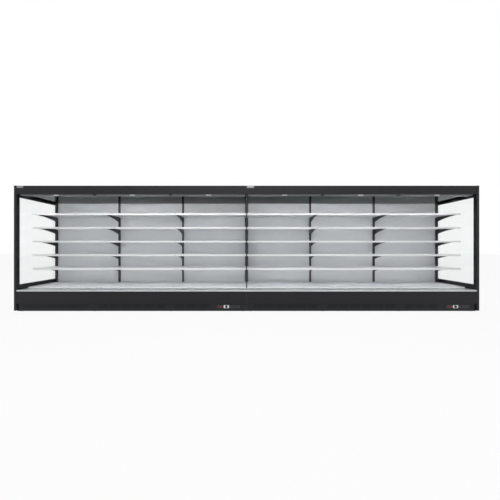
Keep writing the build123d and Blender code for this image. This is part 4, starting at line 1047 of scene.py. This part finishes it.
class FRIDGE_OT_roof_details(bpy.types.Operator):
    """Adds the joint covers on the roofs and the lid screws of the terminal boxes"""

    bl_idname = "fridge.roof_details"
    bl_label = "Roof details"

    def execute(self, context):
        low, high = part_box("roofs")
        starts, bay = bay_starts()
        bm = bmesh.new()
        half, rise, short = 22 * MM, 2.5 * MM, 4 * MM
        corner = (starts[1] - half, low.y + short, high.z)
        plate(bm, corner, (starts[1] + half, high.y - short, high.z + rise), 1 * MM, 2)
        covers = new_piece("roof_joint_covers", bm, "grey_pvc")
        repeat(covers, "bays", BAYS - 1, (bay, 0, 0))
        box_low, box_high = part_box("terminal_boxes")
        screws = bmesh.new()
        dome = [(0.0, 4 * MM), (1.0 * MM, 3.8 * MM), (2.0 * MM, 2.4 * MM), (2.2 * MM, POINT)]
        case_half, aside = context.scene.fridge_sizes.case_length / 2, 116 * MM
        for centre in (-case_half, case_half):
            for x in (centre - aside, centre + aside):
                for y in (box_low.y + 14 * MM, box_low.y + 166 * MM):
                    lathe(screws, dome, (x, y, box_high.z), (0, 0, 1), SCREW_SIDES)
        smooth_by_angle(new_piece("box_screws", screws, "zinc_plated_steel"))
        return {"FINISHED"}


class FRIDGE_OT_stage(bpy.types.Operator):
    """Sets the pale floor, the soft lamps and the camera"""

    bl_idname = "fridge.stage"
    bl_label = "Stage"

    def execute(self, context):
        stage = context.scene.fridge_stage
        self.floor()
        self.world(stage)
        self.lamps(stage)
        self.camera(stage)
        return {"FINISHED"}

    def floor(self):
        """A square floor that reaches 40 m from the fridge on every side."""
        bm = bmesh.new()
        bmesh.ops.create_grid(bm, x_segments=1, y_segments=1, size=40)
        new_piece("studio_floor", bm, "pale_floor", body=None)

    def world(self, stage):
        """A white background to the eye, in mirrors and through glass, and a plain sky for the light."""
        world = bpy.data.worlds.new("studio")
        bpy.context.scene.world = world
        world.use_nodes = True
        tree = world.node_tree
        tree.nodes.clear()
        light = plain_light(tree, "ShaderNodeBackground", stage.sky_light)
        white = plain_light(tree, "ShaderNodeBackground", 1.0)
        mix = add_node(tree, "ShaderNodeMixShader", links={0: seen_directly(tree), 1: light, 2: white})
        add_node(tree, "ShaderNodeOutputWorld", links={"Surface": mix.outputs[0]})

    def lamps(self, stage):
        """A large softbox high in front and a weaker one behind, both aimed at the fridge's middle."""
        aim = Vector((0, 0, 1.0))
        for name, place, size, share in (
            ("softbox", (0.0, -4.2, 4.6), (7.0, 2.5), 1.0),
            ("rear_fill", (0.0, 5.0, 4.0), (6.0, 2.0), 0.5),
        ):
            lamp = bpy.data.lights.new(name, "AREA")
            lamp.shape = "RECTANGLE"
            lamp.size, lamp.size_y = size
            lamp.energy = stage.lamp_watts * share
            holder = bpy.data.objects.new(name, lamp)
            holder.location = place
            holder.rotation_euler = (aim - Vector(place)).to_track_quat("-Z", "Y").to_euler()
            bpy.context.scene.collection.objects.link(holder)

    def camera(self, stage):
        """The photograph's frontal view, square on to the line-up's middle."""
        eye = bpy.data.cameras.new("photo_view")
        eye.lens = stage.lens
        eye.sensor_width = 36
        eye.shift_x = stage.shift_x
        eye.shift_y = stage.shift_y
        eye.clip_end = 200
        holder = bpy.data.objects.new("photo_view", eye)
        holder.location = (0, cad_box[0].y - stage.distance, stage.height)
        holder.rotation_euler = (math.pi / 2, 0, 0)
        bpy.context.scene.collection.objects.link(holder)
        bpy.context.scene.camera = holder


class FRIDGE_PT_panel(bpy.types.Panel):
    """Lists the fridge's pieces in the sidebar"""

    bl_idname = "FRIDGE_PT_panel"
    bl_label = "Display fridge"
    bl_space_type = "VIEW_3D"
    bl_region_type = "UI"
    bl_category = "Fridge"

    def draw(self, context):
        for group in SETTINGS:
            settings = getattr(context.scene, group)
            box = self.layout.box()
            for name in settings.__annotations__:
                box.prop(settings, name)
        for operator in STEPS:
            self.layout.operator(operator.bl_idname)


STEPS = (
    FRIDGE_OT_solids,
    FRIDGE_OT_honeycombs,
    FRIDGE_OT_blinds,
    FRIDGE_OT_end_walls,
    FRIDGE_OT_shelf_details,
    FRIDGE_OT_front_details,
    FRIDGE_OT_controls,
    FRIDGE_OT_roof_details,
    FRIDGE_OT_stage,
)
SETTINGS = {
    "fridge_sizes": FridgeSizes,
    "fridge_finishes": FridgeFinishes,
    "fridge_stage": FridgeStage,
}


def register():
    for name, group in SETTINGS.items():
        bpy.utils.register_class(group)
        setattr(bpy.types.Scene, name, bpy.props.PointerProperty(type=group))
    for operator in STEPS:
        bpy.utils.register_class(operator)
    bpy.utils.register_class(FRIDGE_PT_panel)


def unregister():
    bpy.utils.unregister_class(FRIDGE_PT_panel)
    for operator in reversed(STEPS):
        bpy.utils.unregister_class(operator)
    for name, group in reversed(SETTINGS.items()):
        delattr(bpy.types.Scene, name)
        bpy.utils.unregister_class(group)


def main():
    """Builds the whole fridge and its stage."""
    register()
    bpy.context.scene.view_settings.view_transform = "Standard"
    for operator in STEPS:
        group, name = operator.bl_idname.split(".")
        getattr(getattr(bpy.ops, group), name)()


if __name__ == "__main__":
    main()
